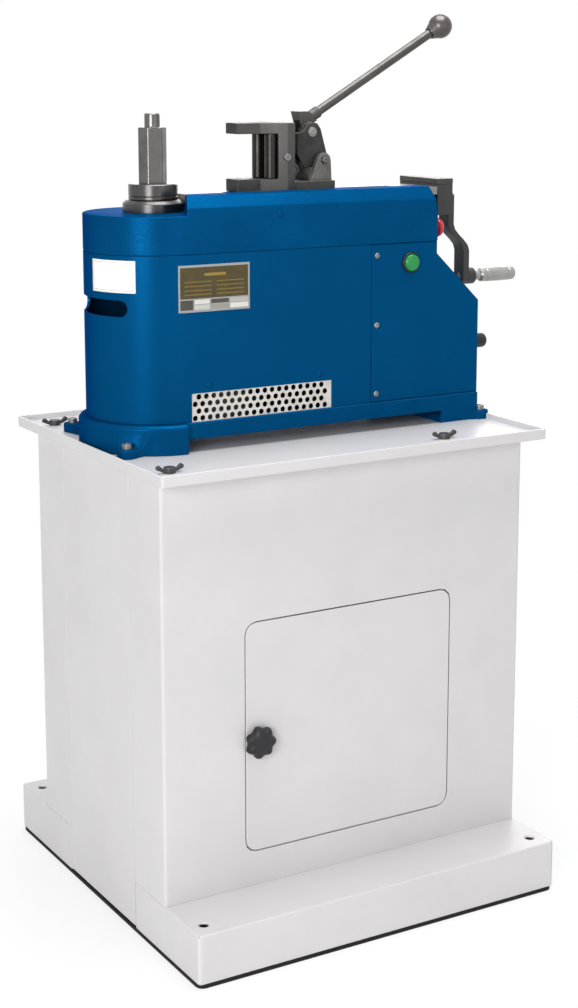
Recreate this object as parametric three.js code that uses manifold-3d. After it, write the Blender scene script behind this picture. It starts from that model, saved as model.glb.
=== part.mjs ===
// Pedestal tube bender with a powered hexagonal bending shaft.
// Millimetres, +Z up. Origin: middle of the rubber mat's underside on the floor.
// +X runs from the bending shaft towards the feed crank, -Y is the front with the door.
import * as THREE from 'three';
import { mergeVertices } from 'three/addons/utils/BufferGeometryUtils.js';
import Module from 'manifold-3d';

const wasm = await Module();
wasm.setup();

// Shared clearances and the overrun of every cut
const seat = 0.3;
const running = 0.1;
const overrun = 5;

// Rubber mat and plinth
const standLength = 650;
const plinthDepth = 664;
const plinthHeight = 77;
const plinthWall = 5;
const plinthCorner = 6;
const matThickness = 6;
const matCorner = 12;
const anchorHoleRadius = 7.5;
const anchorInsetX = 25;
const anchorInsetY = 32;

// Column of folded sheet
const columnDepth = 448;
const columnHeight = 652;
const columnSheet = 3;
const columnCorner = 6;
const topFlange = 34;
const stripWidth = 240;
const stripLift = 4;
const stripLap = 15;
const seamGap = 1;

// Door, its frame and its hinge
const doorWidth = 372;
const doorHeight = 362;
const doorCentreX = 1;
const doorSill = 56;
const doorCorner = 18;
const doorGap = 2;
const doorSheet = 2.5;
const doorReturn = 18;
const frameDepth = 24;
const pinRadius = 2.5;
const pinInset = 18;
const pinTail = 14;
const barrelWall = 2;
const barrelSink = 0.5;
const lugWidth = 16;
const lugHeight = 12;

// Star knob and latch
const knobInset = 19;
const knobHeight = 232;
const knobLobes = 7;
const knobRadius = 26;
const knobLobeDepth = 4;
const knobDomeHeight = 17;
const knobHubRadius = 11;
const knobHubLength = 4;
const knobStemRadius = 5;
const latchLength = 34;
const latchWidth = 16;
const latchThickness = 4;

// Tray under the machine
const traySideOverhang = 17;
const trayFrontOverhang = 41;
const trayRim = 17;
const trayFloor = 7;
const trayRimWall = 4;
const trayCorner = 5;

// Wing nuts that clamp the tray
const wingNutLeftInset = 25;
const wingNutRightInset = 141;
const wingNutEdgeInset = 17;
const wingSpan = 44;
const wingHeight = 13;
const wingThickness = 5;
const wingHubRadius = 9;
const wingHubHeight = 9;
const wingStudRadius = 4;
const wingStudLength = 26;

// Machine body, measured from the bending shaft's axis on the tray floor
const shaftInset = 111.5;
const shaftY = 10;
const bodyRadius = 108.5;
const bodyLength = 540.5;
const bodyWall = 5;
const baseHeight = 46;
const baseProud = 12;
const baseLedge = 1.5;
const baseBevel = 1.5;
const footBevel = 5;
const baseWall = 9;
const baseLift = 20;
const baseFloor = 10;
const baseReliefStart = -4;
const baseReliefInset = 74;
const casingHeight = 254;
const coverNeckLength = 127;
const shoulderRise = 153;
const slopeRise = 81;
const slopeRun = 84;
const coverThickness = 2;
const coverInset = 2;

// Base ears and bolts
const frontEarX = -95.5;
const frontEarY = -94;
const rearEarX = -81.5;
const rearEarY = 136;
const endEarProud = 8;
const endEarInset = 4.5;
const earRadius = 15;
const earHeight = 14;
const earRootShare = 0.55;
const roundEarFlare = 36;
const endEarFlare = 21;
const boltShankRadius = 4;
const boltShankLength = 21;
const boltHeadRadius = 7.5;
const boltHeadHeight = 8;
const boltSocketRadius = 4;
const boltSocketDepth = 5;

// Slot through the round end
const slotRise = 162;
const slotHeight = 25;
const slotHalfAngle = 35;

// Ventilation grille
const grilleStart = 7.5;
const grilleEndInset = 73;
const grilleHeight = 44;
const grilleSetback = 2;
const grilleSheet = 1.2;
const grilleHoleRadius = 3.5;
const grillePitch = 12.8;
const grilleRowPitch = 10.9;
const grilleMargin = 6;

// Rating plate
const plateLength = 107.5;
const plateRise = 168;
const plateHeight = 71;
const plateThickness = 1;
const plateWrapShare = 0.8;

// Top housing
const roundTopRise = 58;
const roundTopWall = 28;
const bedRise = 12;
const rimBevel = 16.5;
const rimBevelDrop = 19;
const rimStep = 5;
const backRimDrop = 7;
const backRimFall = 34;
const crownDrop = 46;
const crownSetback = 7;
const collarRelief = 4;
const slideRelief = 1;
const bedCutRun = 38.5;
const bedCutHalfWidth = 30;

// Slideway with its slot
const slideThickness = 13;
const slideSink = 4;
const slideHalfWidth = 55;
const slideStart = 20;
const slideOverhang = 35;
const keyHalfWidth = 9;
const keySlotStart = 122;
const keySlotInset = 57.5;
const troughHalfWidth = 20;
const troughDepth = 34;

// Bending shaft, its bearings and collar
const shaftRadius = 24;
const shaftFoot = 32;
const bearingRadius = 46.8;
const bearingHeight = 18.5;
const bearingShoulder = 5;
const bearingCrownRadius = 40.5;
const spigotRadius = 36;
const collarRadius = 37.8;
const collarHeight = 24.5;
const hexAcrossFlats = 38.4;
const hexHeight = 85;
const hexTurn = 44.4;
const studRadius = 11.75;
const studHeight = 21;
const shaftBevel = 1.5;
const footBearingRadius = 45;
const footBearingHeight = 28;

// Gear drive inside the body
const gearModule = 5;
const mainGearTeeth = 32;
const pinionTeeth = 11;
const gearRise = 35;
const gearThickness = 34;
const gearBacklashAngle = 0.5;
const toothDepthShare = 1.25;
const toothHeightShare = 1;
const toothRootShare = 0.36;
const toothTipShare = 0.14;
const motorRadius = 62;
const motorHeight = 183;
const motorFlangeRadius = 70;
const motorFlangeHeight = 12;
const pinionShaftRadius = 10;
const pinionShaftDepth = 24;

// Push button and emergency stop
const buttonInset = 74;
const buttonDrop = 32;
const buttonRadius = 13.5;
const buttonProud = 9;
const buttonStem = 18;
const buttonStemRadius = 8;
const buttonBarrelRadius = 15.3;
const buttonTravel = 4;
const bezelRadius = 16.8;
const bezelThickness = 4;
const bezelFloor = 3;
const stopShares = [[0.85, 0], [1, 0.15], [1, 0.6], [0.85, 0.85], [0.55, 0.97], [0, 1]];
const stopY = -52;
const stopRise = 16;
const stopHeadRadius = 16;
const stopHeadLength = 14;
const stopProud = 45;
const stopStemRadius = 10;
const stopWall = 2;
const stopTravel = 4;
const stopCollarRadius = 13;
const stopCollarLength = 26;

// Cable gland
const glandY = -82;
const glandRise = 81;
const glandRadius = 12;
const glandLength = 31;
const glandNutRadius = 14;
const glandNutLength = 8;
const glandBore = 5;
const glandSpigotRadius = 10;

// End block and its steel plate
const endBlockLength = 30.5;
const endBlockRise = 3.5;
const endBlockHalfWidth = 56;
const endBlockDrop = 47;
const endPlateHeight = 9;

// Feed screw and crank
const screwDrop = 12;
const screwRadius = 10;
const screwStart = 103;
const journalRadius = 7;
const journalLength = 16;
const crankHubGap = 21.5;
const crankHubRadius = 14;
const crankThickness = 12;
const crankWidth = 28;
const crankRadius = 133;
const crankBendStart = 42;
const crankBendEnd = 88;
const crankOffset = 33;
const crankBossRadius = 14;
const crankBossLength = 28;
const spindleRadius = 6;
const spindleHeadRadius = 8;
const spindleHeadLength = 4;
const gripRadius = 12;
const gripGap = 14;
const gripLength = 73;

// Die holder with its rollers
const holderTip = 137.5;
const holderLength = 90.5;
const holderTipHalfWidth = 19.5;
const holderNeck = 40;
const holderFlare = 37.5;
const holderHalfWidth = 42;
const holderWeb = 26;
const holderPocketWall = 20;
const holderPocketHalfWidth = 31;
const holderLowerPlate = 20;
const holderMouth = 70;
const holderUpperPlate = 17;
const holderLift = 0.3;
const rollerInset = 31.5;
const rollerSpread = 20;
const rollerRadius = 10;
const rollerPinRadius = 4;
const diePinInset = 12.5;
const diePinRadius = 6;
const linkPivotReach = 10.5;
const linkPivotRise = 13;
const linkEarRadius = 11;
const linkEarInner = 8.5;
const linkEarOuter = 19;

// Carriage and its nut
const carriageGap = 2;
const carriageLength = 76.5;
const carriageHalfWidth = 35;
const carriageThickness = 15;
const earInner = 20;
const earOuter = 30;
const earFootInset = 3;
const earFootLength = 41.5;
const earTopRadius = 12;
const earLeanShare = 0.85;
const leverPivotInset = 17;
const leverPivotRise = 47;
const leverPinRadius = 5;
const pinProud = 3;
const nutInset = 10;
const nutLength = 48;
const nutHalfWidth = 17;
const nutDrop = 14;

// Toggle link and lever
const upperPivotSetback = 16;
const upperPivotRise = 44.5;
const linkThickness = 15;
const linkUpperRadius = 13;
const linkLowerRadius = 10;
const linkWaist = 8;
const openPivotPlay = 3;
const cheekMargin = 3;
const toggleHalfWidth = 19.5;
const toggleFootRadius = 13;
const cheekUpperCorners = [[-28, -2], [-27, -38]];
const cheekLowerCorners = [[-30, -12], [0, -5]];
const cheekCrown = 8;
const cheekSlotReach = 34;
const cheekSlotRise = 17.5;
const socketHalfWidth = 12;
const socketCorners = [[-22.6, 32.1], [-14.2, 3.1], [11.9, 16.6], [0, 32.1]];
const rodAngle = 30;
const rodRadius = 7.5;
const rodReach = 5.9;
const rodRise = 22.3;
const rodLength = 290;
const rodSocketFloor = 6;
const rodCollarWall = 2;
const rodCollarLength = 18;
const leverKnobRadius = 20;
const leverKnobFlat = 17;
const leverKnobNeck = 17;

// Paint and metal
const lightPaint = { color: 0xd9dbdd, roughness: 0.45, metalness: 0.0 };
const bluePaint = { color: 0x0a5ca6, roughness: 0.4, metalness: 0.0 };
const blackRubber = { color: 0x1b1b1c, roughness: 0.9, metalness: 0.0 };
const blackPlastic = { color: 0x222224, roughness: 0.55, metalness: 0.0 };
const blackPaint = { color: 0x2a2a2b, roughness: 0.5, metalness: 0.2 };
const castGrey = { color: 0x5b5a58, roughness: 0.65, metalness: 0.6 };
const brightSteel = { color: 0xb9bab8, roughness: 0.3, metalness: 0.9 };
const zincSteel = { color: 0xa6a6a4, roughness: 0.4, metalness: 0.85 };
const bronze = { color: 0xa8803f, roughness: 0.45, metalness: 0.8 };
const greenPlastic = { color: 0x0a9a4c, roughness: 0.35, metalness: 0.0 };
const redPlastic = { color: 0xc8242a, roughness: 0.35, metalness: 0.0 };
const plateSilver = { color: 0x9a9280, roughness: 0.4, metalness: 0.6 };

// Sides of round pieces
const fineSides = 32;
const roundSides = 20;
const smallSides = 16;
const holeSides = 6;
const hexSides = 6;
const lobeSteps = 6;
const armSteps = 5;
const cornerSteps = 3;
const halfTurn = Math.PI;
const fullTurn = 2 * Math.PI;
const degree = Math.PI / 180;

function solid(geometry) {
  const bare = geometry.clone();
  bare.deleteAttribute('normal');
  bare.deleteAttribute('uv');
  const merged = mergeVertices(bare);
  const corners = merged.index.array;
  const faces = [];
  for (let i = 0; i < corners.length; i += 3) {
    const [a, b, c] = [corners[i], corners[i + 1], corners[i + 2]];
    if (a !== b && b !== c && c !== a) {
      faces.push(a, b, c);
    }
  }
  return new wasm.Manifold(new wasm.Mesh({
    numProp: 3,
    vertProperties: new Float32Array(merged.attributes.position.array),
    triVerts: new Uint32Array(faces),
  }));
}

function outlineShape(points) {
  return new THREE.Shape(points.map(([u, v]) => new THREE.Vector2(u, v)));
}

function extruded(points, depth) {
  return new THREE.ExtrudeGeometry(outlineShape(points), { depth, bevelEnabled: false });
}

// A plan outline raised from one height to another
function prismZ(points, low, high) {
  return solid(extruded(points, high - low).translate(0, 0, low));
}

// A side outline (x, z) carried across from one y to another
function prismY(points, front, back) {
  return solid(extruded(points, back - front).rotateX(halfTurn / 2).translate(0, back, 0));
}

// An end outline (y, z) carried along from one x to another
function prismX(points, left, right) {
  const turn = new THREE.Matrix4().makeBasis(
    new THREE.Vector3(0, 1, 0),
    new THREE.Vector3(0, 0, 1),
    new THREE.Vector3(1, 0, 0),
  );
  return solid(extruded(points, right - left).applyMatrix4(turn).translate(left, 0, 0));
}

function rectangle(left, right, low, high) {
  return [[left, low], [right, low], [right, high], [left, high]];
}

function block(x1, x2, y1, y2, low, high) {
  const outline = rectangle(Math.min(x1, x2), Math.max(x1, x2), Math.min(y1, y2), Math.max(y1, y2));
  return prismZ(outline, low, high);
}

function circle(u, v, radius, sides, phase = 0) {
  const points = [];
  for (let i = 0; i < sides; i += 1) {
    const angle = phase + fullTurn * i / sides;
    points.push([u + radius * Math.cos(angle), v + radius * Math.sin(angle)]);
  }
  return points;
}

function arc(u, v, radius, from, to, steps) {
  const points = [];
  for (let i = 0; i <= steps; i += 1) {
    const angle = from + (to - from) * i / steps;
    points.push([u + radius * Math.cos(angle), v + radius * Math.sin(angle)]);
  }
  return points;
}

function roundedRectangle(left, right, low, high, radius) {
  return [
    ...arc(right - radius, low + radius, radius, -halfTurn / 2, 0, cornerSteps),
    ...arc(right - radius, high - radius, radius, 0, halfTurn / 2, cornerSteps),
    ...arc(left + radius, high - radius, radius, halfTurn / 2, halfTurn, cornerSteps),
    ...arc(left + radius, low + radius, radius, halfTurn, 1.5 * halfTurn, cornerSteps),
  ];
}

// The outline round two circles, as of a lever arm
function armOutline(first, firstRadius, second, secondRadius, steps) {
  const dx = second[0] - first[0];
  const dz = second[1] - first[1];
  const heading = Math.atan2(dz, dx);
  const lean = Math.acos((firstRadius - secondRadius) / Math.hypot(dx, dz));
  return [
    ...arc(first[0], first[1], firstRadius, heading + lean, heading + fullTurn - lean, steps),
    ...arc(second[0], second[1], secondRadius, heading - lean, heading + lean, steps),
  ];
}

// A turned form about +Z: profile of [radius, height], rising from axis to axis
function turned(profile, sides) {
  const points = profile.map(([radius, height]) => new THREE.Vector2(radius, height));
  return new THREE.LatheGeometry(points, sides).rotateX(halfTurn / 2);
}

// A solid between two outlines with as many points, one above the other
function tapered(lowPoints, low, highPoints, high) {
  const count = lowPoints.length;
  const outline = lowPoints.map(([u, v]) => new THREE.Vector2(u, v));
  const caps = THREE.ShapeUtils.triangulateShape(outline, []);
  const vertices = [];
  lowPoints.forEach(([u, v]) => vertices.push(u, v, low));
  highPoints.forEach(([u, v]) => vertices.push(u, v, high));
  const faces = [];
  for (const [a, b, c] of caps) {
    faces.push(c, b, a, a + count, b + count, c + count);
  }
  for (let i = 0; i < count; i += 1) {
    const next = (i + 1) % count;
    faces.push(i, next, next + count, i, next + count, i + count);
  }
  const geometry = new THREE.BufferGeometry();
  geometry.setAttribute('position', new THREE.Float32BufferAttribute(vertices, 3));
  geometry.setIndex(faces);
  return geometry;
}

function joined(parts) {
  return parts.slice(1).reduce((sum, part) => sum.add(part), parts[0]);
}

function meshOf(name, body, look) {
  const data = body.getMesh();
  const geometry = new THREE.BufferGeometry();
  geometry.setAttribute('position', new THREE.BufferAttribute(new Float32Array(data.vertProperties), 3));
  geometry.setIndex(new THREE.BufferAttribute(new Uint32Array(data.triVerts), 1));
  geometry.computeVertexNormals();
  const mesh = new THREE.Mesh(geometry, new THREE.MeshStandardMaterial(look));
  mesh.name = name;
  return mesh;
}

// Levels of the stand
const halfLength = standLength / 2;
const halfPlinth = plinthDepth / 2;
const halfColumn = columnDepth / 2;
const halfStrip = stripWidth / 2;
const plinthTop = matThickness + plinthHeight;
const columnTop = plinthTop + columnHeight;
const stripRecess = columnSheet + seat;
const wingNutLeftX = wingNutLeftInset - halfLength;
const wingNutRightX = halfLength - wingNutRightInset;
const wingNutY = halfColumn - wingNutEdgeInset;
const shaftX = shaftInset - halfLength;

function anchorHoles(low, high) {
  const holes = [];
  for (const x of [anchorInsetX - halfLength, halfLength - anchorInsetX]) {
    for (const y of [anchorInsetY - halfPlinth, halfPlinth - anchorInsetY]) {
      holes.push(prismZ(circle(x, y, anchorHoleRadius, smallSides), low, high));
    }
  }
  return joined(holes);
}

function rubberMat() {
  const outline = roundedRectangle(-halfLength, halfLength, -halfPlinth, halfPlinth, matCorner);
  return prismZ(outline, 0, matThickness).subtract(anchorHoles(-overrun, matThickness + overrun));
}

function plinthOutline(inset) {
  const side = halfLength - inset;
  const step = side - stripRecess;
  const back = halfPlinth - inset;
  const notch = halfStrip + seamGap + inset;
  return [
    [-side, -back], [side, -back], [side, -notch], [step, -notch], [step, notch], [side, notch],
    [side, back], [-side, back], [-side, notch], [-step, notch], [-step, -notch], [-side, -notch],
  ];
}

function plinth() {
  const outer = prismZ(plinthOutline(0), matThickness, plinthTop);
  const corner = roundedRectangle(-halfLength, halfLength, -halfPlinth, halfPlinth, plinthCorner);
  const inner = prismZ(plinthOutline(plinthWall), matThickness - overrun, plinthTop - plinthWall);
  return outer.intersect(prismZ(corner, matThickness - overrun, plinthTop + overrun))
    .subtract(inner)
    .subtract(anchorHoles(matThickness - overrun, plinthTop + overrun));
}

// Folded half of the column, open towards the middle, with a flange round its top
function columnHalf(side) {
  const edge = side * (halfStrip + seamGap / 2);
  const outer = roundedRectangle(-halfLength, halfLength, -halfColumn, halfColumn, columnCorner);
  const innerX = halfLength - columnSheet;
  const innerY = halfColumn - columnSheet;
  const half = block(-halfLength, halfLength, side * halfColumn, edge, plinthTop, columnTop);
  const mouthEdge = side * (halfColumn - topFlange);
  const flangeSide = halfLength - topFlange;
  const far = edge - side * overrun;
  const hollow = block(-innerX, innerX, side * innerY, far, plinthTop - overrun, columnTop - columnSheet);
  const mouth = block(-flangeSide, flangeSide, mouthEdge, far, plinthTop, columnTop + overrun);
  return prismZ(outer, plinthTop, columnTop).intersect(half).subtract(hollow).subtract(mouth);
}

// Levels of the door
const doorLeft = doorCentreX - doorWidth / 2;
const doorRight = doorCentreX + doorWidth / 2;
const doorLow = plinthTop + doorSill;
const doorHigh = doorLow + doorHeight;
const doorFront = -halfColumn;
const pinX = doorRight - pinInset;
const knobX = doorLeft + knobInset;
const barrelRadius = pinRadius + running + barrelWall;
const pinY = doorFront + doorSheet + barrelRadius - barrelSink;
const lugBack = pinY + barrelRadius;

function doorOpening(grow, front, back) {
  const outline = roundedRectangle(
    doorLeft - grow, doorRight + grow, doorLow - grow, doorHigh + grow, doorCorner + grow);
  return prismY(outline, front, back);
}

function columnFrontShell() {
  const backOfFrame = doorFront + frameDepth;
  const frame = doorOpening(doorGap + columnSheet, doorFront, backOfFrame)
    .subtract(block(
      pinX - lugWidth, doorRight + doorGap + columnSheet + overrun,
      doorFront - overrun, backOfFrame + overrun, doorLow, doorHigh));
  const lugs = [];
  for (const low of [doorLow - doorGap - lugHeight, doorHigh + doorGap]) {
    lugs.push(block(
      pinX - lugWidth / 2, pinX + lugWidth / 2, doorFront, lugBack, low, low + lugHeight));
  }
  const bore = prismZ(
    circle(pinX, pinY, pinRadius + seat, smallSides),
    doorLow - pinTail - overrun, doorHigh + pinTail + overrun);
  const studs = wingHoles(-wingNutY, columnTop - columnSheet - overrun, columnTop + overrun);
  return columnHalf(-1).add(frame).add(joined(lugs))
    .subtract(doorOpening(doorGap, doorFront - overrun, backOfFrame + overrun))
    .subtract(bore)
    .subtract(studs);
}

function columnBackShell() {
  const studs = wingHoles(wingNutY, columnTop - columnSheet - overrun, columnTop + overrun);
  return columnHalf(1).subtract(studs);
}

function wingHoles(y, low, high) {
  const radius = wingStudRadius + seat;
  const holes = [wingNutLeftX, wingNutRightX].map(
    (x) => prismZ(circle(x, y, radius, smallSides), low, high));
  return joined(holes);
}

// Flush side strip over column and plinth, with a lap behind the column's edges
function sidePanel(side) {
  const outer = side * halfLength;
  const inner = side * (halfLength - columnSheet);
  const edge = halfStrip - seamGap / 2;
  const lapOuter = inner - side * seat;
  const lapInner = lapOuter - side * columnSheet;
  const lapEdge = halfStrip + stripLap;
  const face = block(inner, outer, -edge, edge, matThickness + stripLift, columnTop);
  const neck = block(lapInner, inner, -edge, edge, plinthTop, columnTop - columnSheet - seat);
  const lap = block(lapInner, lapOuter, -lapEdge, lapEdge, plinthTop, columnTop - columnSheet - seat);
  return face.add(neck).add(lap);
}

function door() {
  const back = doorFront + doorReturn;
  const pan = doorOpening(0, doorFront, back);
  const pocketOutline = roundedRectangle(
    doorLeft + doorSheet, doorRight - doorSheet, doorLow + doorSheet, doorHigh - doorSheet,
    doorCorner - doorSheet);
  const pocket = prismY(pocketOutline, doorFront + doorSheet, back + overrun);
  const barrel = prismZ(circle(pinX, pinY, barrelRadius, smallSides), doorLow, doorHigh);
  const bore = prismZ(
    circle(pinX, pinY, pinRadius + running, smallSides), doorLow - overrun, doorHigh + overrun);
  const stem = prismY(
    circle(knobX, plinthTop + knobHeight, knobStemRadius + running, smallSides),
    doorFront - overrun, doorFront + doorSheet + overrun);
  return pan.subtract(pocket).add(barrel).subtract(bore).subtract(stem);
}

function doorHingePin() {
  return prismZ(circle(pinX, pinY, pinRadius, smallSides), doorLow - pinTail, doorHigh + pinTail);
}

function lobedOutline(radius) {
  const points = [];
  const steps = knobLobes * lobeSteps;
  for (let i = 0; i < steps; i += 1) {
    const angle = fullTurn * i / steps;
    const reach = radius - knobLobeDepth * (1 - Math.cos(knobLobes * angle)) / 2;
    points.push([reach * Math.cos(angle), reach * Math.sin(angle)]);
  }
  return points;
}

const latchFront = doorFront + frameDepth + seat;
const latchBack = latchFront + latchThickness;
const domeShares = [[1, 0], [0.97, 0.35], [0.85, 0.7], [0.6, 0.92], [0, 1]];

// Domed star knob with its hub and the stem through the door, drawn from the stem's back end
function starKnob() {
  const hubFront = doorFront - knobHubLength;
  const lobes = solid(extruded(lobedOutline(knobRadius), knobDomeHeight));
  const dome = solid(turned(
    [[0, 0], ...domeShares.map(([out, up]) => [knobRadius * out, knobDomeHeight * up])], fineSides));
  const head = lobes.intersect(dome);
  const hub = prismZ(circle(0, 0, knobHubRadius, roundSides), -knobHubLength + running, overrun);
  const stem = prismZ(circle(0, 0, knobStemRadius, smallSides), hubFront - latchBack, overrun);
  return head.add(hub).add(stem);
}

function latchCam() {
  const outline = [
    ...arc(0, 0, latchWidth / 2, 0, halfTurn, smallSides / 2),
    [-latchWidth / 2, -latchLength], [latchWidth / 2, -latchLength],
  ];
  return prismY(outline, latchFront, latchBack)
    .subtract(prismY(
      circle(0, 0, knobStemRadius + seat, smallSides), latchFront - overrun, latchBack + overrun));
}

// Tray, with a rim, holes for its wing nuts and holes for the machine's bolts
const trayTop = columnTop + trayFloor;
const endEarX = bodyLength + endEarProud;
const endEarY = bodyRadius - endEarInset;
const machineEars = [
  [frontEarX, frontEarY],
  [rearEarX, rearEarY],
  [endEarX, -endEarY],
  [endEarX, endEarY],
];
const earRoots = [
  [frontEarX * earRootShare, frontEarY * earRootShare, roundEarFlare],
  [rearEarX * earRootShare, rearEarY * earRootShare, roundEarFlare],
  [bodyLength - 2 * earRadius, -bodyRadius + 2 * earRadius, endEarFlare],
  [bodyLength - 2 * earRadius, bodyRadius - 2 * earRadius, endEarFlare],
];

function earPads(grow, shift, low, high) {
  const pads = machineEars.map(([x, y], i) => {
    const [rootX, rootY, flare] = earRoots[i];
    const outline = armOutline(
      [x, y], earRadius + grow, [rootX, rootY], flare + grow, armSteps);
    return prismZ(outline.map(([u, v]) => [u + shift[0], v + shift[1]]), low, high);
  });
  return joined(pads);
}

function tray() {
  const x = halfLength + traySideOverhang;
  const y = halfColumn + trayFrontOverhang;
  const inX = x - trayRimWall;
  const inY = y - trayRimWall;
  const outline = roundedRectangle(-x, x, -y, y, trayCorner);
  const pocket = block(-inX, inX, -inY, inY, trayTop, columnTop + trayRim + overrun);
  const ears = earPads(seat, [shaftX, shaftY], trayTop, columnTop + trayRim + overrun);
  const bolts = machineEars.map(([u, v]) => prismZ(
    circle(shaftX + u, shaftY + v, boltShankRadius + seat, smallSides),
    columnTop - overrun, trayTop + overrun));
  return prismZ(outline, columnTop, columnTop + trayRim)
    .subtract(pocket)
    .subtract(ears)
    .subtract(joined(bolts))
    .subtract(wingHoles(-wingNutY, columnTop - overrun, trayTop + overrun))
    .subtract(wingHoles(wingNutY, columnTop - overrun, trayTop + overrun));
}

// One wing of a wing nut, in shares of half the span and of the height
const wingShares = [
  [0.1, 0.08], [0.55, 0.16], [1, 0.5], [1, 0.82], [0.8, 1], [0.5, 0.56], [0.1, 0.46],
];

function wingNut() {
  const half = wingSpan / 2;
  const right = wingShares.map(([out, up]) => [half * out, wingHeight * up]);
  const left = wingShares.map(([out, up]) => [-half * out, wingHeight * up]);
  const reach = wingThickness / 2;
  return prismY(right, -reach, reach)
    .add(prismY(left, -reach, reach))
    .add(prismZ(circle(0, 0, wingHubRadius, smallSides), 0, wingHubHeight))
    .add(prismZ(circle(0, 0, wingStudRadius, smallSides), -wingStudLength, wingHubHeight));
}

// Heights and lengths of the machine, each from the one below or beside it
const casingTop = baseHeight + casingHeight;
const shoulderHeight = baseHeight + shoulderRise;
const neckHeight = shoulderHeight + slopeRise;
const neckLength = bodyLength - slopeRun;
const casingSeam = neckLength - coverNeckLength;
const baseReliefEnd = bodyLength - baseReliefInset;
const slotSill = baseHeight + slotRise;
const grilleTop = baseHeight + grilleHeight;
const grilleEnd = casingSeam - grilleEndInset;
const roundTop = casingTop + roundTopRise;
const bedFloor = roundTop + bedRise;
const slideTop = bedFloor + slideThickness;
const slideEnd = neckLength + slideOverhang;
const keySlotEnd = slideEnd - keySlotInset;
const rimHeight = slideTop + slideSink;
const frontEdgeHeight = rimHeight - rimBevelDrop;
const backRimHeight = rimHeight - backRimDrop;
const backEdgeHeight = backRimHeight - backRimFall;
const crownBevelHeight = rimHeight - crownDrop;
const crownLength = neckLength - crownSetback;
const motorTop = baseLift + baseFloor + motorHeight;
const gearSill = motorTop + gearRise;
const buttonX = casingSeam + buttonInset;
const buttonHeight = casingTop - buttonDrop;
const stopHeight = casingTop + stopRise;
const glandHeight = baseHeight + glandRise;
const screwHeight = bedFloor - screwDrop;
const crankHubX = slideEnd + endBlockLength + crankHubGap;
const gripStart = crankHubX + crankOffset + crankBossLength + gripGap;

// Plan of the machine: a round end about the shaft and straight sides to the right
function planOutline(offset, right) {
  const radius = bodyRadius + offset;
  const side = arc(0, 0, radius, halfTurn / 2, 1.5 * halfTurn, roundSides);
  return [[right, -radius], [right, radius], ...side];
}

function baseCasting() {
  const bevelFoot = baseHeight - baseBevel;
  const skirt = prismZ(planOutline(baseLedge, bodyLength), 0, bevelFoot)
    .add(solid(tapered(
      planOutline(baseLedge, bodyLength), bevelFoot,
      planOutline(0, bodyLength), baseHeight)));
  const footTop = baseHeight - footBevel;
  const side = bodyRadius + baseProud + overrun;
  const foot = prismZ(planOutline(baseProud, overrun), 0, footTop)
    .add(solid(tapered(
      planOutline(baseProud, overrun), footTop,
      planOutline(baseProud - footBevel, overrun), baseHeight)))
    .subtract(block(baseReliefStart, 2 * overrun, -side, side, -overrun, baseHeight + overrun));
  const relief = block(baseReliefStart, baseReliefEnd, -side, side, -overrun, baseLift);
  const pit = prismZ(
    planOutline(-baseWall, bodyLength - baseWall), baseLift + baseFloor, baseHeight + overrun);
  const bolts = machineEars.map(([x, y]) => prismZ(
    circle(x, y, boltShankRadius + seat, smallSides), -overrun, earHeight + overrun));
  const clearHeads = machineEars.map(([x, y]) => prismZ(
    circle(x, y, boltHeadRadius + seat, smallSides), earHeight, baseHeight + overrun));
  return skirt.add(foot).subtract(relief).add(earPads(0, [0, 0], 0, earHeight))
    .subtract(pit)
    .subtract(joined(bolts))
    .subtract(joined(clearHeads));
}

function baseBolt() {
  return prismZ(circle(0, 0, boltHeadRadius, smallSides), 0, boltHeadHeight)
    .add(prismZ(circle(0, 0, boltShankRadius, smallSides), -boltShankLength, overrun))
    .subtract(prismZ(
      circle(0, 0, boltSocketRadius, holeSides),
      boltHeadHeight - boltSocketDepth, boltHeadHeight + overrun));
}

function bodyCasing() {
  const end = casingSeam - seamGap / 2;
  const shell = prismZ(planOutline(0, end), baseHeight, casingTop)
    .subtract(prismZ(
      planOutline(-bodyWall, end + overrun), baseHeight - overrun, casingTop + overrun));
  const vent = block(
    grilleStart, grilleEnd, -bodyRadius - overrun, -bodyRadius + bodyWall + overrun,
    baseHeight - overrun, grilleTop);
  return shell.subtract(vent).subtract(roundEndSlot());
}

// Slot with round ends that wraps the round end of the body
function roundEndSlot() {
  const middle = slotSill + slotHeight / 2;
  const reach = bodyRadius + overrun;
  const half = slotHalfAngle * degree;
  const sector = [[0, 0], ...arc(0, 0, reach + overrun, halfTurn - half, halfTurn + half, smallSides)];
  const slot = prismZ(sector, slotSill, slotSill + slotHeight);
  const ends = [halfTurn - half, halfTurn + half].map((angle) => {
    const bar = extruded(circle(0, 0, slotHeight / 2, smallSides), reach)
      .rotateY(halfTurn / 2).rotateZ(angle).translate(0, 0, middle);
    return solid(bar);
  });
  const ring = prismZ(circle(0, 0, bodyRadius - 2 * bodyWall, fineSides), 0, casingTop);
  return slot.add(ends[0]).add(ends[1]).subtract(ring);
}

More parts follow.
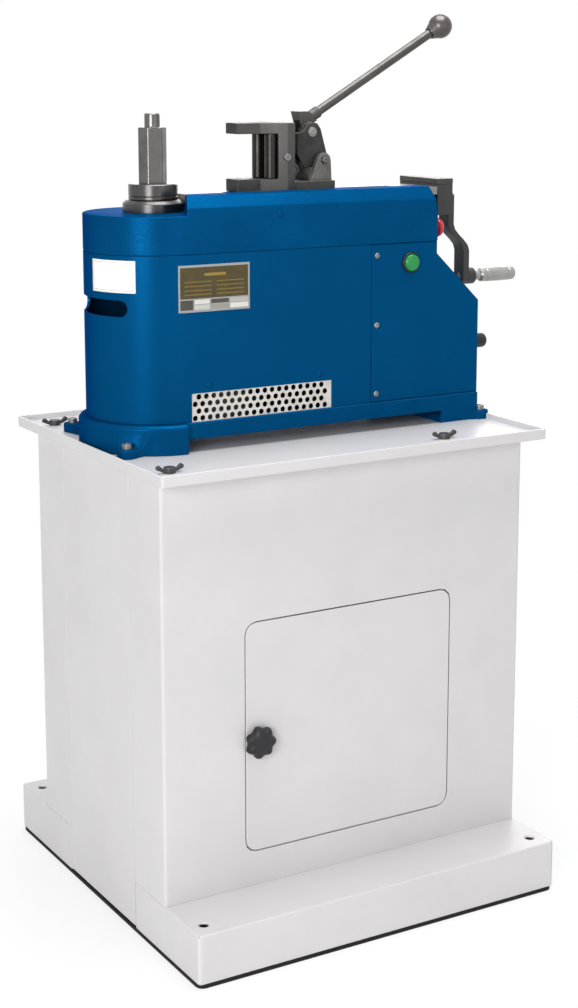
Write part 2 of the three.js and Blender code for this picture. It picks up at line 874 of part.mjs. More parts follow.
function grille() {
  const front = -bodyRadius + grilleSetback;
  const left = grilleStart + seat;
  const right = grilleEnd - seat;
  const top = grilleTop - seat;
  const shape = outlineShape(rectangle(left, right, baseHeight, top));
  const rows = 1 + Math.floor((top - baseHeight - 2 * grilleHoleRadius) / grilleRowPitch);
  const rowFoot = (top + baseHeight - (rows - 1) * grilleRowPitch) / 2;
  for (let row = 0; row < rows; row += 1) {
    const shift = (row % 2) * grillePitch / 2;
    const span = right - left - 2 * grilleMargin - shift;
    const count = 1 + Math.floor(span / grillePitch);
    for (let i = 0; i < count; i += 1) {
      const x = left + grilleMargin + shift + i * grillePitch;
      const z = rowFoot + row * grilleRowPitch;
      const hole = circle(x, z, grilleHoleRadius, holeSides);
      shape.holes.push(new THREE.Path(hole.map(([u, v]) => new THREE.Vector2(u, v))));
    }
  }
  const sheet = new THREE.ExtrudeGeometry(shape, { depth: grilleSheet, bevelEnabled: false });
  return solid(sheet.rotateX(halfTurn / 2).translate(0, front + grilleSheet, 0));
}

// Side outline of the sloped end, drawn in by an inset
function endOutline(left, low, high, inset) {
  const run = bodyLength - neckLength;
  const rise = neckHeight - shoulderHeight;
  const drop = inset * (Math.hypot(run, rise) - rise) / run;
  return [
    [left, low], [bodyLength - inset, low], [bodyLength - inset, shoulderHeight - drop],
    [neckLength - inset, neckHeight - drop], [neckLength - inset, high], [left, high],
  ];
}

function buttonHole(radius, front, back) {
  return prismY(circle(buttonX, buttonHeight, radius, roundSides), front, back);
}

const housingHalfDepth = bodyRadius - coverThickness;

function endHousing() {
  const left = casingSeam + seamGap / 2;
  const outer = prismY(endOutline(left, baseHeight, casingTop, 0), -housingHalfDepth, housingHalfDepth);
  const inner = prismY(
    endOutline(left - overrun, baseHeight - overrun, casingTop + overrun, bodyWall),
    -housingHalfDepth + bodyWall, housingHalfDepth - bodyWall);
  const inlet = prismX(
    circle(glandY, glandHeight, glandSpigotRadius + seat, roundSides),
    bodyLength - bodyWall - overrun, bodyLength + overrun);
  return outer.subtract(inner).subtract(inlet)
    .subtract(buttonHole(buttonBarrelRadius + seat, -bodyRadius, -bodyRadius + bodyWall + 2 * overrun));
}

function coverPlate(side) {
  const left = casingSeam + seamGap / 2;
  const outline = endOutline(left, baseHeight + coverInset, casingTop - coverInset, coverInset);
  const outer = side * bodyRadius;
  const inner = side * housingHalfDepth;
  const plate = prismY(outline, Math.min(outer, inner), Math.max(outer, inner));
  return side > 0 ? plate : plate.subtract(
    buttonHole(buttonBarrelRadius + seat, -bodyRadius - overrun, -bodyRadius + overrun));
}

// End outline (y, z) of the raised bed behind the collar
function bedOutline() {
  const recess = slideHalfWidth + seat;
  return [
    [-bodyRadius, casingTop], [-bodyRadius, frontEdgeHeight],
    [-bodyRadius + rimBevel, rimHeight], [-recess - rimStep, rimHeight], [-recess, rimHeight],
    [-recess, bedFloor], [recess, bedFloor], [recess, backRimHeight],
    [bodyRadius - backRimFall, backRimHeight], [bodyRadius, backEdgeHeight], [bodyRadius, casingTop],
  ];
}

// Plan of the corner cut off the bed and the slideway on one side of the collar
function bedCorner(side, shift) {
  const edge = side * (bodyRadius + overrun);
  const inner = side * bedCutHalfWidth;
  return prismZ(
    [[-overrun, edge], [shift, edge], [bedCutRun + shift, inner], [-overrun, inner]],
    roundTop, rimHeight + overrun);
}

const cavityTop = roundTop - roundTopWall;

function topHousing() {
  const bed = prismX(bedOutline(), 0, neckLength);
  const sideView = [
    [-bodyRadius - overrun, casingTop], [neckLength, casingTop], [neckLength, crownBevelHeight],
    [crownLength, rimHeight], [-bodyRadius - overrun, rimHeight],
  ];
  const profile = prismY(sideView, -bodyRadius, bodyRadius);
  const cavity = prismZ(
    planOutline(-bodyWall, neckLength - bodyWall), casingTop - overrun, cavityTop);
  const relief = prismZ(
    circle(0, 0, bearingRadius + collarRelief, fineSides), roundTop, rimHeight + overrun);
  const bore = prismZ(
    circle(0, 0, spigotRadius + seat, fineSides), cavityTop - overrun, roundTop + overrun);
  const trough = block(
    screwStart, neckLength + overrun, -troughHalfWidth, troughHalfWidth,
    bedFloor - troughDepth, bedFloor + overrun);
  const journal = prismX(
    circle(0, screwHeight, journalRadius + running, roundSides),
    screwStart - journalLength, screwStart + overrun);
  const stop = prismX(
    circle(stopY, stopHeight, stopStemRadius + stopWall + seat, roundSides),
    neckLength - bodyWall - overrun, neckLength + overrun);
  return prismZ(planOutline(0, neckLength), casingTop, roundTop)
    .add(bed)
    .intersect(profile)
    .subtract(cavity)
    .subtract(bedCorner(-1, 0))
    .subtract(bedCorner(1, 0))
    .subtract(relief)
    .subtract(bore)
    .subtract(trough)
    .subtract(journal)
    .subtract(stop);
}

function slideway() {
  return block(slideStart, slideEnd, -slideHalfWidth, slideHalfWidth, bedFloor, slideTop)
    .subtract(prismZ(
      circle(0, 0, bearingRadius + collarRelief + slideRelief, fineSides),
      bedFloor - overrun, slideTop + overrun))
    .subtract(bedCorner(-1, slideRelief))
    .subtract(bedCorner(1, slideRelief))
    .subtract(block(
      keySlotStart, keySlotEnd, -keyHalfWidth - seat, keyHalfWidth + seat,
      bedFloor - overrun, slideTop + overrun));
}

// Plate on the flat front, bent a little where it laps onto the first facet of the round end
function ratingPlate() {
  const [inner, outer] = [bodyRadius, bodyRadius + plateThickness].map((radius) => {
    const facet = arc(0, 0, radius, 1.5 * halfTurn, 1.5 * halfTurn - halfTurn / roundSides, 1);
    const [[x1, y1], [x2, y2]] = facet;
    return [[plateLength, y1], [0, y1],
      [x1 + (x2 - x1) * plateWrapShare, y1 + (y2 - y1) * plateWrapShare]];
  });
  const foot = baseHeight + plateRise;
  return prismZ([...outer.reverse(), ...inner], foot, foot + plateHeight);
}

// Bending shaft: gear seat, collar seat, hexagon and threaded stud
const bearingTop = roundTop + bearingHeight;
const hexFoot = bearingTop + collarHeight;
const hexTop = hexFoot + hexHeight;
const hexRadius = hexAcrossFlats / 2 / Math.cos(halfTurn / hexSides);

function mainShaft() {
  const studTop = hexTop + studHeight;
  const hex = circle(0, 0, hexRadius, hexSides, hexTurn * degree);
  const hexCrown = circle(0, 0, hexRadius - shaftBevel, hexSides, hexTurn * degree);
  const stud = circle(0, 0, studRadius, roundSides);
  const studCrown = circle(0, 0, studRadius - shaftBevel, roundSides);
  return prismZ(circle(0, 0, shaftRadius, fineSides), shaftFoot, hexFoot)
    .add(prismZ(hex, hexFoot - overrun, hexTop - shaftBevel))
    .add(solid(tapered(hex, hexTop - shaftBevel, hexCrown, hexTop)))
    .add(prismZ(stud, hexTop - overrun, studTop - shaftBevel))
    .add(solid(tapered(stud, studTop - shaftBevel, studCrown, studTop)));
}

function ring(outer, inner, low, high) {
  return prismZ(circle(0, 0, outer, fineSides), low, high)
    .subtract(prismZ(circle(0, 0, inner, fineSides), low - overrun, high + overrun));
}

function upperBearing() {
  const bore = shaftRadius + seat;
  const flange = solid(turned([
    [0, roundTop], [bearingRadius, roundTop], [bearingRadius, bearingTop - bearingShoulder],
    [bearingCrownRadius, bearingTop], [0, bearingTop],
  ], fineSides));
  return flange.add(prismZ(circle(0, 0, spigotRadius, fineSides), cavityTop, roundTop + seat))
    .subtract(prismZ(circle(0, 0, bore, fineSides), cavityTop - overrun, bearingTop + overrun));
}

function lowerBearing() {
  const floor = baseLift + baseFloor;
  return ring(footBearingRadius, shaftRadius + seat, floor, floor + footBearingHeight);
}

function shaftCollar() {
  return ring(collarRadius, shaftRadius + seat, bearingTop + seat, hexFoot);
}

// Spur gear outline with trapezoid teeth
function gearOutline(teeth, phase) {
  const pitchAngle = fullTurn / teeth;
  const slack = gearBacklashAngle * degree;
  const root = gearModule * (teeth / 2 - toothDepthShare);
  const tip = gearModule * (teeth / 2 + toothHeightShare);
  const rootHalf = pitchAngle * toothRootShare - slack;
  const tipHalf = pitchAngle * toothTipShare - slack;
  const points = [];
  for (let i = 0; i < teeth; i += 1) {
    const middle = phase + i * pitchAngle;
    for (const [radius, turn] of [[root, -rootHalf], [tip, -tipHalf], [tip, tipHalf], [root, rootHalf]]) {
      points.push([radius * Math.cos(middle + turn), radius * Math.sin(middle + turn)]);
    }
  }
  return points;
}

const driveSpacing = gearModule * (mainGearTeeth + pinionTeeth) / 2;

function mainGear() {
  const outline = gearOutline(mainGearTeeth, halfTurn / mainGearTeeth);
  return prismZ(outline, gearSill, gearSill + gearThickness)
    .subtract(prismZ(
      circle(0, 0, shaftRadius + seat, fineSides),
      gearSill - overrun, gearSill + gearThickness + overrun));
}

function drivePinion() {
  return prismZ(gearOutline(pinionTeeth, halfTurn), gearSill, gearSill + gearThickness)
    .add(prismZ(
      circle(0, 0, pinionShaftRadius, roundSides), motorTop - pinionShaftDepth, gearSill + overrun));
}

function driveMotor() {
  const floor = baseLift + baseFloor;
  return prismZ(circle(0, 0, motorRadius, fineSides), floor, motorTop)
    .add(prismZ(circle(0, 0, motorFlangeRadius, fineSides), motorTop - motorFlangeHeight, motorTop))
    .subtract(prismZ(
      circle(0, 0, pinionShaftRadius + seat, roundSides),
      motorTop - pinionShaftDepth - seat, motorTop + overrun));
}

// Push button in its bezel on the front cover
const buttonFront = -bodyRadius - buttonProud;
const buttonBack = -bodyRadius + buttonStem - buttonTravel - bezelFloor - seat;

function buttonBezel() {
  const back = -bodyRadius + buttonStem;
  return buttonHole(bezelRadius, -bodyRadius - bezelThickness, -bodyRadius)
    .add(buttonHole(buttonBarrelRadius, -bodyRadius - bezelThickness, back))
    .subtract(buttonHole(
      buttonRadius + seat, -bodyRadius - bezelThickness - overrun, back - bezelFloor))
    .subtract(buttonHole(buttonStemRadius + seat, -bodyRadius, back + overrun));
}

function greenButton() {
  return buttonHole(buttonRadius, buttonFront, buttonBack)
    .add(buttonHole(buttonStemRadius, buttonFront, -bodyRadius + buttonStem + overrun));
}

// Mushroom head of the emergency stop in its collar on the right end
function stopDisc(radius, left, right) {
  return prismX(circle(stopY, stopHeight, radius, roundSides), left, right);
}

function stopCollar() {
  const spigot = stopDisc(stopStemRadius + stopWall, neckLength - bodyWall, neckLength + overrun);
  return stopDisc(stopCollarRadius, neckLength, neckLength + stopCollarLength)
    .add(spigot)
    .subtract(stopDisc(
      stopStemRadius + running, neckLength - bodyWall - overrun,
      neckLength + stopCollarLength + overrun));
}

function stopButton() {
  const face = neckLength + stopProud;
  const profile = stopShares.map(([out, up]) => [stopHeadRadius * out, stopHeadLength * up]);
  const head = solid(turned([[0, 0], ...profile], roundSides)
    .rotateY(halfTurn / 2).translate(face - stopHeadLength, stopY, stopHeight));
  return head.add(stopDisc(stopStemRadius, neckLength, face - stopHeadLength / 2));
}

// Cable gland with its nut, rounded body and bore
function cableGland() {
  const half = glandRadius / 2;
  const round = arc(half, glandLength - half, half, 0, halfTurn / 2, cornerSteps);
  const profile = [
    [glandBore, -bodyWall], [glandSpigotRadius, -bodyWall], [glandSpigotRadius, overrun],
    [glandRadius, overrun],
    ...round,
    [glandBore, glandLength], [glandBore, -bodyWall],
  ];
  const body = solid(turned(profile, roundSides)
    .rotateY(halfTurn / 2).translate(bodyLength, glandY, glandHeight));
  const nut = prismX(
    circle(glandY, glandHeight, glandNutRadius, holeSides), bodyLength, bodyLength + glandNutLength)
    .subtract(prismX(
      circle(glandY, glandHeight, (glandBore + glandSpigotRadius) / 2, roundSides),
      bodyLength - overrun, bodyLength + glandNutLength + overrun));
  return body.add(nut);
}

function axleX(radius, left, right) {
  return prismX(circle(0, screwHeight, radius, roundSides), left, right);
}

function endBlock() {
  return block(
    slideEnd, slideEnd + endBlockLength, -endBlockHalfWidth, endBlockHalfWidth,
    slideTop - endBlockDrop, slideTop + endBlockRise)
    .subtract(axleX(
      screwRadius + seat, slideEnd - overrun, slideEnd + endBlockLength + overrun));
}

function endPlate() {
  return block(
    slideEnd, slideEnd + endBlockLength, -endBlockHalfWidth, endBlockHalfWidth,
    slideTop + endBlockRise, slideTop + endBlockRise + endPlateHeight);
}

// Feed screw with its journal, its thrust collar and the tail that carries the crank
function feedScrew() {
  const thrustFace = slideEnd + endBlockLength + seat;
  return axleX(screwRadius, screwStart + seat, crankHubX + crankThickness)
    .add(axleX(journalRadius, screwStart - journalLength + seat, screwStart + overrun))
    .add(axleX(crankBossRadius, thrustFace, crankHubX - seat));
}

function crankArm() {
  const bendTop = screwHeight - crankBendStart;
  const bendLow = screwHeight - crankBendEnd;
  const foot = screwHeight - crankRadius;
  const spine = [[0, screwHeight + crankHubRadius / 2], [0, bendTop]];
  for (let i = 1; i < armSteps; i += 1) {
    const share = i / armSteps;
    const ease = (1 - Math.cos(halfTurn * share)) / 2;
    spine.push([crankOffset * ease, bendTop + (bendLow - bendTop) * share]);
  }
  spine.push([crankOffset, bendLow], [crankOffset, foot - crankBossRadius / 2]);
  const left = spine.map(([x, z]) => [crankHubX + x, z]);
  const right = spine.map(([x, z]) => [crankHubX + crankThickness + x, z]).reverse();
  const bossX = crankHubX + crankOffset;
  return prismY([...left, ...right], -crankWidth / 2, crankWidth / 2)
    .add(axleX(crankHubRadius, crankHubX, crankHubX + crankThickness))
    .add(prismX(
      circle(0, foot, crankBossRadius, roundSides), bossX, bossX + crankBossLength))
    .subtract(axleX(screwRadius + seat, crankHubX - overrun, crankHubX + crankThickness + overrun))
    .subtract(prismX(
      circle(0, foot, spindleRadius + seat, smallSides), bossX - overrun,
      bossX + crankBossLength + overrun));
}

function gripAxle(radius, left, right) {
  return prismX(circle(0, screwHeight - crankRadius, radius, roundSides), left, right);
}

const gripEnd = gripStart + gripLength;
const spindleHeadX = gripEnd - spindleHeadLength - seat;

function gripSpindle() {
  const bossEnd = crankHubX + crankOffset + crankBossLength;
  return gripAxle(spindleRadius, crankHubX + crankOffset, gripEnd - seat)
    .add(gripAxle(spindleHeadRadius, bossEnd + seat, gripStart - seat))
    .add(gripAxle(spindleHeadRadius, spindleHeadX, gripEnd - seat));
}

function crankGrip() {
  const bossHeight = screwHeight - crankRadius;
  const ends = circle(0, bossHeight, gripRadius, roundSides);
  return prismX(ends, gripStart, gripEnd)
    .subtract(gripAxle(spindleRadius + running, gripStart - overrun, gripEnd + overrun))
    .subtract(gripAxle(spindleHeadRadius + running, spindleHeadX - seat, gripEnd + overrun));
}

// Lengths and heights of the die holder, the carriage and the toggle on the slideway
const holderEnd = holderTip + holderLength;
const holderFlareStart = holderTip + holderNeck;
const holderFlareEnd = holderFlareStart + holderFlare;
const holderWebStart = holderEnd - holderWeb;
const holderPocketEnd = holderEnd - holderPocketWall;
const holderLowerTop = slideTop + holderLowerPlate;
const holderUpperSill = holderLowerTop + holderMouth;
const holderTop = holderUpperSill + holderUpperPlate;
const rollerX = holderEnd - rollerInset;
const diePinX = holderTip + diePinInset;
const linkPivotX = holderEnd + linkPivotReach;
const linkPivotHeight = holderLowerTop + linkPivotRise;
const carriageStart = holderEnd + carriageGap;
const carriageEnd = carriageStart + carriageLength;
const carriageTop = slideTop + carriageThickness;
const earFootEnd = carriageEnd - earFootInset;
const earFootStart = earFootEnd - earFootLength;
const nutStart = carriageStart + nutInset;
const leverPivotX = carriageEnd - leverPivotInset;
const leverPivotHeight = slideTop + leverPivotRise;
const upperPivotX = leverPivotX - upperPivotSetback;
const upperPivotHeight = leverPivotHeight + upperPivotRise;
const cheekSlotTop = upperPivotHeight + cheekSlotRise;
const rodStartX = upperPivotX + rodReach;
const rodStartHeight = upperPivotHeight + rodRise;

function leverPivot(radius, front, back) {
  return prismY(circle(leverPivotX, leverPivotHeight, radius, roundSides), front, back);
}

// Carriage on the slideway with the key in its slot and the ears of the lever
function togglePlate() {
  const plate = block(
    carriageStart, carriageEnd, -carriageHalfWidth, carriageHalfWidth, slideTop, carriageTop);
  const key = block(
    nutStart, nutStart + nutLength, -keyHalfWidth, keyHalfWidth, bedFloor, slideTop + overrun);
  const outline = [
    [earFootStart, carriageTop - overrun], [earFootEnd, carriageTop - overrun],
    ...arc(leverPivotX, leverPivotHeight, earTopRadius, 0, earLeanShare * halfTurn, armSteps),
  ];
  return plate.add(key)
    .add(prismY(outline, -earOuter, -earInner))
    .add(prismY(outline, earInner, earOuter))
    .subtract(leverPivot(leverPinRadius + seat, -earOuter - overrun, earOuter + overrun));
}

function screwNut() {
  return block(
    nutStart, nutStart + nutLength, -nutHalfWidth, nutHalfWidth,
    screwHeight - nutDrop, bedFloor - seat)
    .subtract(axleX(screwRadius + seat, nutStart - overrun, nutStart + nutLength + overrun));
}

function leverPin() {
  return leverPivot(leverPinRadius, -earOuter - pinProud, earOuter + pinProud);
}

// Die holder: two flared plates on a web with a pocket for the rollers
function holderOutline() {
  return [
    [holderTip, -holderTipHalfWidth], [holderFlareStart, -holderTipHalfWidth],
    [holderFlareEnd, -holderHalfWidth], [holderEnd, -holderHalfWidth],
    [holderEnd, holderHalfWidth], [holderFlareEnd, holderHalfWidth],
    [holderFlareStart, holderTipHalfWidth], [holderTip, holderTipHalfWidth],
  ];
}

function linkPivot(radius, front, back) {
  return prismY(circle(linkPivotX, linkPivotHeight, radius, roundSides), front, back);
}

function rollerBore(side) {
  return prismZ(
    circle(rollerX, side * rollerSpread, rollerPinRadius + seat, smallSides),
    slideTop - overrun, holderTop + overrun);
}

function dieHolder() {
  const foot = slideTop + holderLift;
  const outline = holderOutline();
  const body = prismZ(outline, foot, holderTop);
  const throat = block(
    holderTip - overrun, holderWebStart, -holderHalfWidth - overrun, holderHalfWidth + overrun,
    holderLowerTop, holderUpperSill);
  const pocket = block(
    holderTip - overrun, holderPocketEnd, -holderPocketHalfWidth, holderPocketHalfWidth,
    holderLowerTop, holderUpperSill);
  const key = block(
    holderPocketEnd, holderEnd, -keyHalfWidth, keyHalfWidth, bedFloor + seat, foot + overrun);
  const earFloor = linkPivotHeight - linkEarRadius;
  const ears = joined([-1, 1].map((side) => {
    const inner = side * linkEarInner;
    const outer = side * linkEarOuter;
    const root = block(
      holderEnd - overrun, linkPivotX, inner, outer, earFloor, linkPivotHeight + linkEarRadius);
    return root.add(linkPivot(linkEarRadius, Math.min(inner, outer), Math.max(inner, outer)));
  }));
  const diePin = prismZ(
    circle(diePinX, 0, diePinRadius, smallSides), slideTop - overrun, holderTop + overrun);
  return body.subtract(throat).subtract(pocket).add(key).add(ears)
    .subtract(linkPivot(leverPinRadius + seat, -linkEarOuter - overrun, linkEarOuter + overrun))
    .subtract(rollerBore(-1))
    .subtract(rollerBore(1))
    .subtract(diePin);
}

function guideRoller() {
  return ring(
    rollerRadius, rollerPinRadius + running,
    holderLowerTop + seat, holderUpperSill - seat);
}

function rollerPin() {
  return prismZ(
    circle(0, 0, rollerPinRadius, smallSides), slideTop + holderLift + seat, holderTop);
}

// Link between the die holder and the lever, with play at its upper eye
function upperPivot(radius, front, back) {
  return prismY(circle(upperPivotX, upperPivotHeight, radius, roundSides), front, back);
}

function toggleLink() {
  const half = linkThickness / 2;
  const lower = [linkPivotX, linkPivotHeight];
  const upper = [upperPivotX, upperPivotHeight];
  const waist = armOutline(lower, linkWaist, upper, linkWaist, armSteps);
  return prismY(waist, -half, half)
    .add(linkPivot(linkLowerRadius, -half, half))
    .add(upperPivot(linkUpperRadius, -half, half))
    .subtract(upperPivot(leverPinRadius + openPivotPlay, -half - overrun, half + overrun))
    .subtract(linkPivot(leverPinRadius + running, -half - overrun, half + overrun));
}

function linkPin() {
  return linkPivot(leverPinRadius, -linkEarOuter, linkEarOuter);
}

// A round bar along the lever's rod, between two distances from the rod's start
function alongRod(radius, from, to, sides) {
  const bar = extruded(circle(0, 0, radius, sides), to - from)
    .translate(0, 0, from)
    .rotateY(halfTurn / 2 - rodAngle * degree)
    .translate(rodStartX, 0, rodStartHeight);
  return solid(bar);
}

// Corners given from a point, as places in the side view
function fromPoint(x, z, corners) {
  return corners.map(([along, up]) => [x + along, z + up]);
}

// Lever: a foot on its pin, two broad cheeks beside the link and a tilted socket for the rod
function toggleLever() {
  const lower = [leverPivotX, leverPivotHeight];
  const upper = [upperPivotX, upperPivotHeight];
  const arm = armOutline(
    lower, toggleFootRadius, upper, linkUpperRadius + cheekMargin, armSteps);
  const half = toggleHalfWidth;
  const slotHalf = linkEarInner;
  const slot = block(
    upperPivotX - cheekSlotReach, upperPivotX + linkUpperRadius + cheekMargin, -slotHalf, slotHalf,
    leverPivotHeight + toggleFootRadius, cheekSlotTop);
  const cheek = [
    ...fromPoint(...upper, cheekUpperCorners), ...fromPoint(...lower, cheekLowerCorners),
    [upperPivotX, upperPivotHeight + cheekCrown],
  ];
  const socket = prismY(
    fromPoint(...upper, socketCorners), -socketHalfWidth, socketHalfWidth);
  return prismY(arm, -half, half)
    .add(socket)
    .add(alongRod(rodRadius + rodCollarWall, -overrun, rodCollarLength, roundSides))
    .subtract(slot)
    .add(prismY(cheek, -half, -slotHalf))
    .add(prismY(cheek, slotHalf, half))
    .add(upperPivot(leverPinRadius, -half, half))
    .subtract(alongRod(rodRadius + seat, rodSocketFloor, rodCollarLength + overrun, smallSides))
    .subtract(leverPivot(leverPinRadius + running, -half - overrun, half + overrun));
}

function leverRod() {
  return alongRod(rodRadius, rodSocketFloor + seat, rodLength - leverKnobRadius / 2, smallSides);
}

function leverKnob() {
  const profile = [[0, -leverKnobNeck]];
  const start = Math.asin(-leverKnobNeck / leverKnobRadius);
  const end = Math.asin(leverKnobFlat / leverKnobRadius);
  for (const [across, up] of arc(0, 0, leverKnobRadius, start, end, roundSides / 2 - 2)) {
    profile.push([across, up]);
  }
  profile.push([0, leverKnobFlat]);
  const knob = turned(profile, roundSides)
    .translate(0, 0, rodLength)
    .rotateY(halfTurn / 2 - rodAngle * degree)
    .translate(rodStartX, 0, rodStartHeight);
  return solid(knob).subtract(alongRod(
    rodRadius + seat, rodLength - leverKnobRadius - overrun,
    rodLength - leverKnobRadius / 2 + seat, smallSides));
}

// Assembly
const bender = new THREE.Group();
const stand = new THREE.Group();
const machine = new THREE.Group();
machine.position.set(shaftX, shaftY, trayTop);
bender.add(stand, machine);

function place(group, name, body, look, position = [0, 0, 0]) {
  const mesh = meshOf(name, body, look);
  mesh.position.set(...position);
  group.add(mesh);
  return mesh;
}

const knobPlace = [knobX, 0, plinthTop + knobHeight];
place(stand, 'rubber_mat', rubberMat(), blackRubber);
place(stand, 'plinth', plinth(), lightPaint);
place(stand, 'column_front_shell', columnFrontShell(), lightPaint);
place(stand, 'column_back_shell', columnBackShell(), lightPaint);
place(stand, 'side_panel_left', sidePanel(-1), lightPaint);
place(stand, 'side_panel_right', sidePanel(1), lightPaint);
place(stand, 'door', door(), lightPaint);
place(stand, 'door_hinge_pin', doorHingePin(), zincSteel);
place(stand, 'latch_cam', latchCam(), zincSteel, knobPlace);
const star = place(stand, 'star_knob', starKnob(), blackPlastic, [
  knobX, doorFront - knobHubLength, plinthTop + knobHeight,
]);
star.rotation.x = halfTurn / 2;
place(stand, 'tray', tray(), lightPaint);
const wingPlaces = [
  [wingNutLeftX, -wingNutY], [wingNutRightX, -wingNutY],
  [wingNutLeftX, wingNutY], [wingNutRightX, wingNutY],
];
wingPlaces.forEach(([x, y], i) => {
  place(stand, `wing_nut_${i + 1}`, wingNut(), zincSteel, [x, y, trayTop]);
});

place(machine, 'base_casting', baseCasting(), bluePaint);
machineEars.forEach(([x, y], i) => {
  place(machine, `base_bolt_${i + 1}`, baseBolt(), zincSteel, [x, y, earHeight]);
});
place(machine, 'body_casing', bodyCasing(), bluePaint);
place(machine, 'end_housing', endHousing(), bluePaint);
place(machine, 'front_cover', coverPlate(-1), bluePaint);
place(machine, 'rear_cover', coverPlate(1), bluePaint);
place(machine, 'ventilation_grille', grille(), zincSteel);
place(machine, 'top_housing', topHousing(), bluePaint);
place(machine, 'slideway', slideway(), brightSteel);
place(machine, 'rating_plate', ratingPlate(), plateSilver);
place(machine, 'main_shaft', mainShaft(), brightSteel);
place(machine, 'upper_bearing', upperBearing(), brightSteel);
place(machine, 'lower_bearing', lowerBearing(), zincSteel);
place(machine, 'shaft_collar', shaftCollar(), brightSteel);
place(machine, 'main_gear', mainGear(), castGrey);
place(machine, 'drive_pinion', drivePinion(), zincSteel, [driveSpacing, 0, 0]);
place(machine, 'drive_motor', driveMotor(), castGrey, [driveSpacing, 0, 0]);
place(machine, 'button_bezel', buttonBezel(), blackPlastic);
place(machine, 'green_button', greenButton(), greenPlastic);
place(machine, 'stop_collar', stopCollar(), zincSteel);
place(machine, 'stop_button', stopButton(), redPlastic);
place(machine, 'cable_gland', cableGland(), blackPlastic);
place(machine, 'end_block', endBlock(), blackPaint);
place(machine, 'end_plate', endPlate(), brightSteel);
place(machine, 'feed_screw', feedScrew(), brightSteel);
place(machine, 'crank_arm', crankArm(), blackPaint);
place(machine, 'grip_spindle', gripSpindle(), zincSteel);
place(machine, 'crank_grip', crankGrip(), zincSteel);
place(machine, 'carriage', togglePlate(), castGrey);
place(machine, 'screw_nut', screwNut(), bronze);
place(machine, 'lever_pin', leverPin(), zincSteel);
place(machine, 'die_holder', dieHolder(), castGrey);
[-1, 1].forEach((side, i) => {
  const spot = [rollerX, side * rollerSpread, 0];
  place(machine, `guide_roller_${i + 1}`, guideRoller(), castGrey, spot);
  place(machine, `roller_pin_${i + 1}`, rollerPin(), zincSteel, spot);
});
place(machine, 'toggle_link', toggleLink(), castGrey);
place(machine, 'link_pin', linkPin(), zincSteel);
place(machine, 'toggle_lever', toggleLever(), castGrey);
place(machine, 'lever_rod', leverRod(), brightSteel);
place(machine, 'lever_knob', leverKnob(), blackPlastic);

export default bender;
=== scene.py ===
"""Looks of the pedestal tube bender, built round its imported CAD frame. Metres, +Z up."""
import math

import bmesh
import bpy
import numpy as np
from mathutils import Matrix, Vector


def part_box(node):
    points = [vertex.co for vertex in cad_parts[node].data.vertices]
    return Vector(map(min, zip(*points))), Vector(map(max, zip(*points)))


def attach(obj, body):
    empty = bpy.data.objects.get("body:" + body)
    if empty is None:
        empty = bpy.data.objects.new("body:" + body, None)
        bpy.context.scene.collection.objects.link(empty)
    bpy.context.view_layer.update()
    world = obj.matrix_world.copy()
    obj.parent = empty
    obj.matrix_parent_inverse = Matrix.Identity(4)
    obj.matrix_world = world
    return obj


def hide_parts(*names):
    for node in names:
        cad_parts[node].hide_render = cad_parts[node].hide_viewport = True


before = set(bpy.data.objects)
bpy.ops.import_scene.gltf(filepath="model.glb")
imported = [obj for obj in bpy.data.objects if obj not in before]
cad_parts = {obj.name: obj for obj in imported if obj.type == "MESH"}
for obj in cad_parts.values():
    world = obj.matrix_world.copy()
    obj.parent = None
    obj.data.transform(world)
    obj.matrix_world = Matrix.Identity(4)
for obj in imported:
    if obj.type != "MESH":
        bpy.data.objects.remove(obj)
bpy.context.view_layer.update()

# Studio
# A pale floor under soft lamps, and a camera at the photograph's viewing angle, about ten degrees
# down, with the lens and the shift that were found for the photograph's crop.
scene = bpy.context.scene
scene.view_settings.view_transform = "Standard"


def linear(code):
    """sRGB hex to linear RGBA: c/12.92 below 0.04045, else ((c + 0.055)/1.055)^2.4."""
    share = np.array([int(code[i:i + 2], 16) for i in (0, 2, 4)]) / 255
    low, high = share / 12.92, ((share + 0.055) / 1.055) ** 2.4
    return (*np.where(share <= 0.04045, low, high).tolist(), 1.0)


def add_node(tree, kind, settings=(), inputs=()):
    """Adds one shader node. An input given as a socket is linked to it, one given as a node is
    linked to that node's first output in use, and anything else is set as the input's value."""
    node = tree.nodes.new("ShaderNode" + kind)
    for name, value in dict(settings).items():
        setattr(node, name, value)
    for name, value in dict(inputs).items():
        if isinstance(value, bpy.types.Node):
            value = next(socket for socket in value.outputs if socket.enabled)
        if isinstance(value, bpy.types.NodeSocket):
            tree.links.new(value, node.inputs[name])
        else:
            node.inputs[name].default_value = value
    return node


def empty_material(name):
    """A material with nothing in its tree, that tree, and the socket of Object coordinates."""
    material = bpy.data.materials.new(name)
    material.use_nodes = True
    tree = material.node_tree
    tree.nodes.clear()
    return material, tree, add_node(tree, "TexCoord").outputs["Object"]


def seen_directly(tree):
    """1 for the camera's rays, for gloss and for what is seen through glass, else 0."""
    path = add_node(tree, "LightPath")
    seen = add_node(tree, "Math", {"operation": "MAXIMUM"}, {
        0: path.outputs["Is Camera Ray"], 1: path.outputs["Is Glossy Ray"]})
    return add_node(tree, "Math", {"operation": "MAXIMUM"}, {
        0: seen, 1: path.outputs["Is Transmission Ray"]})


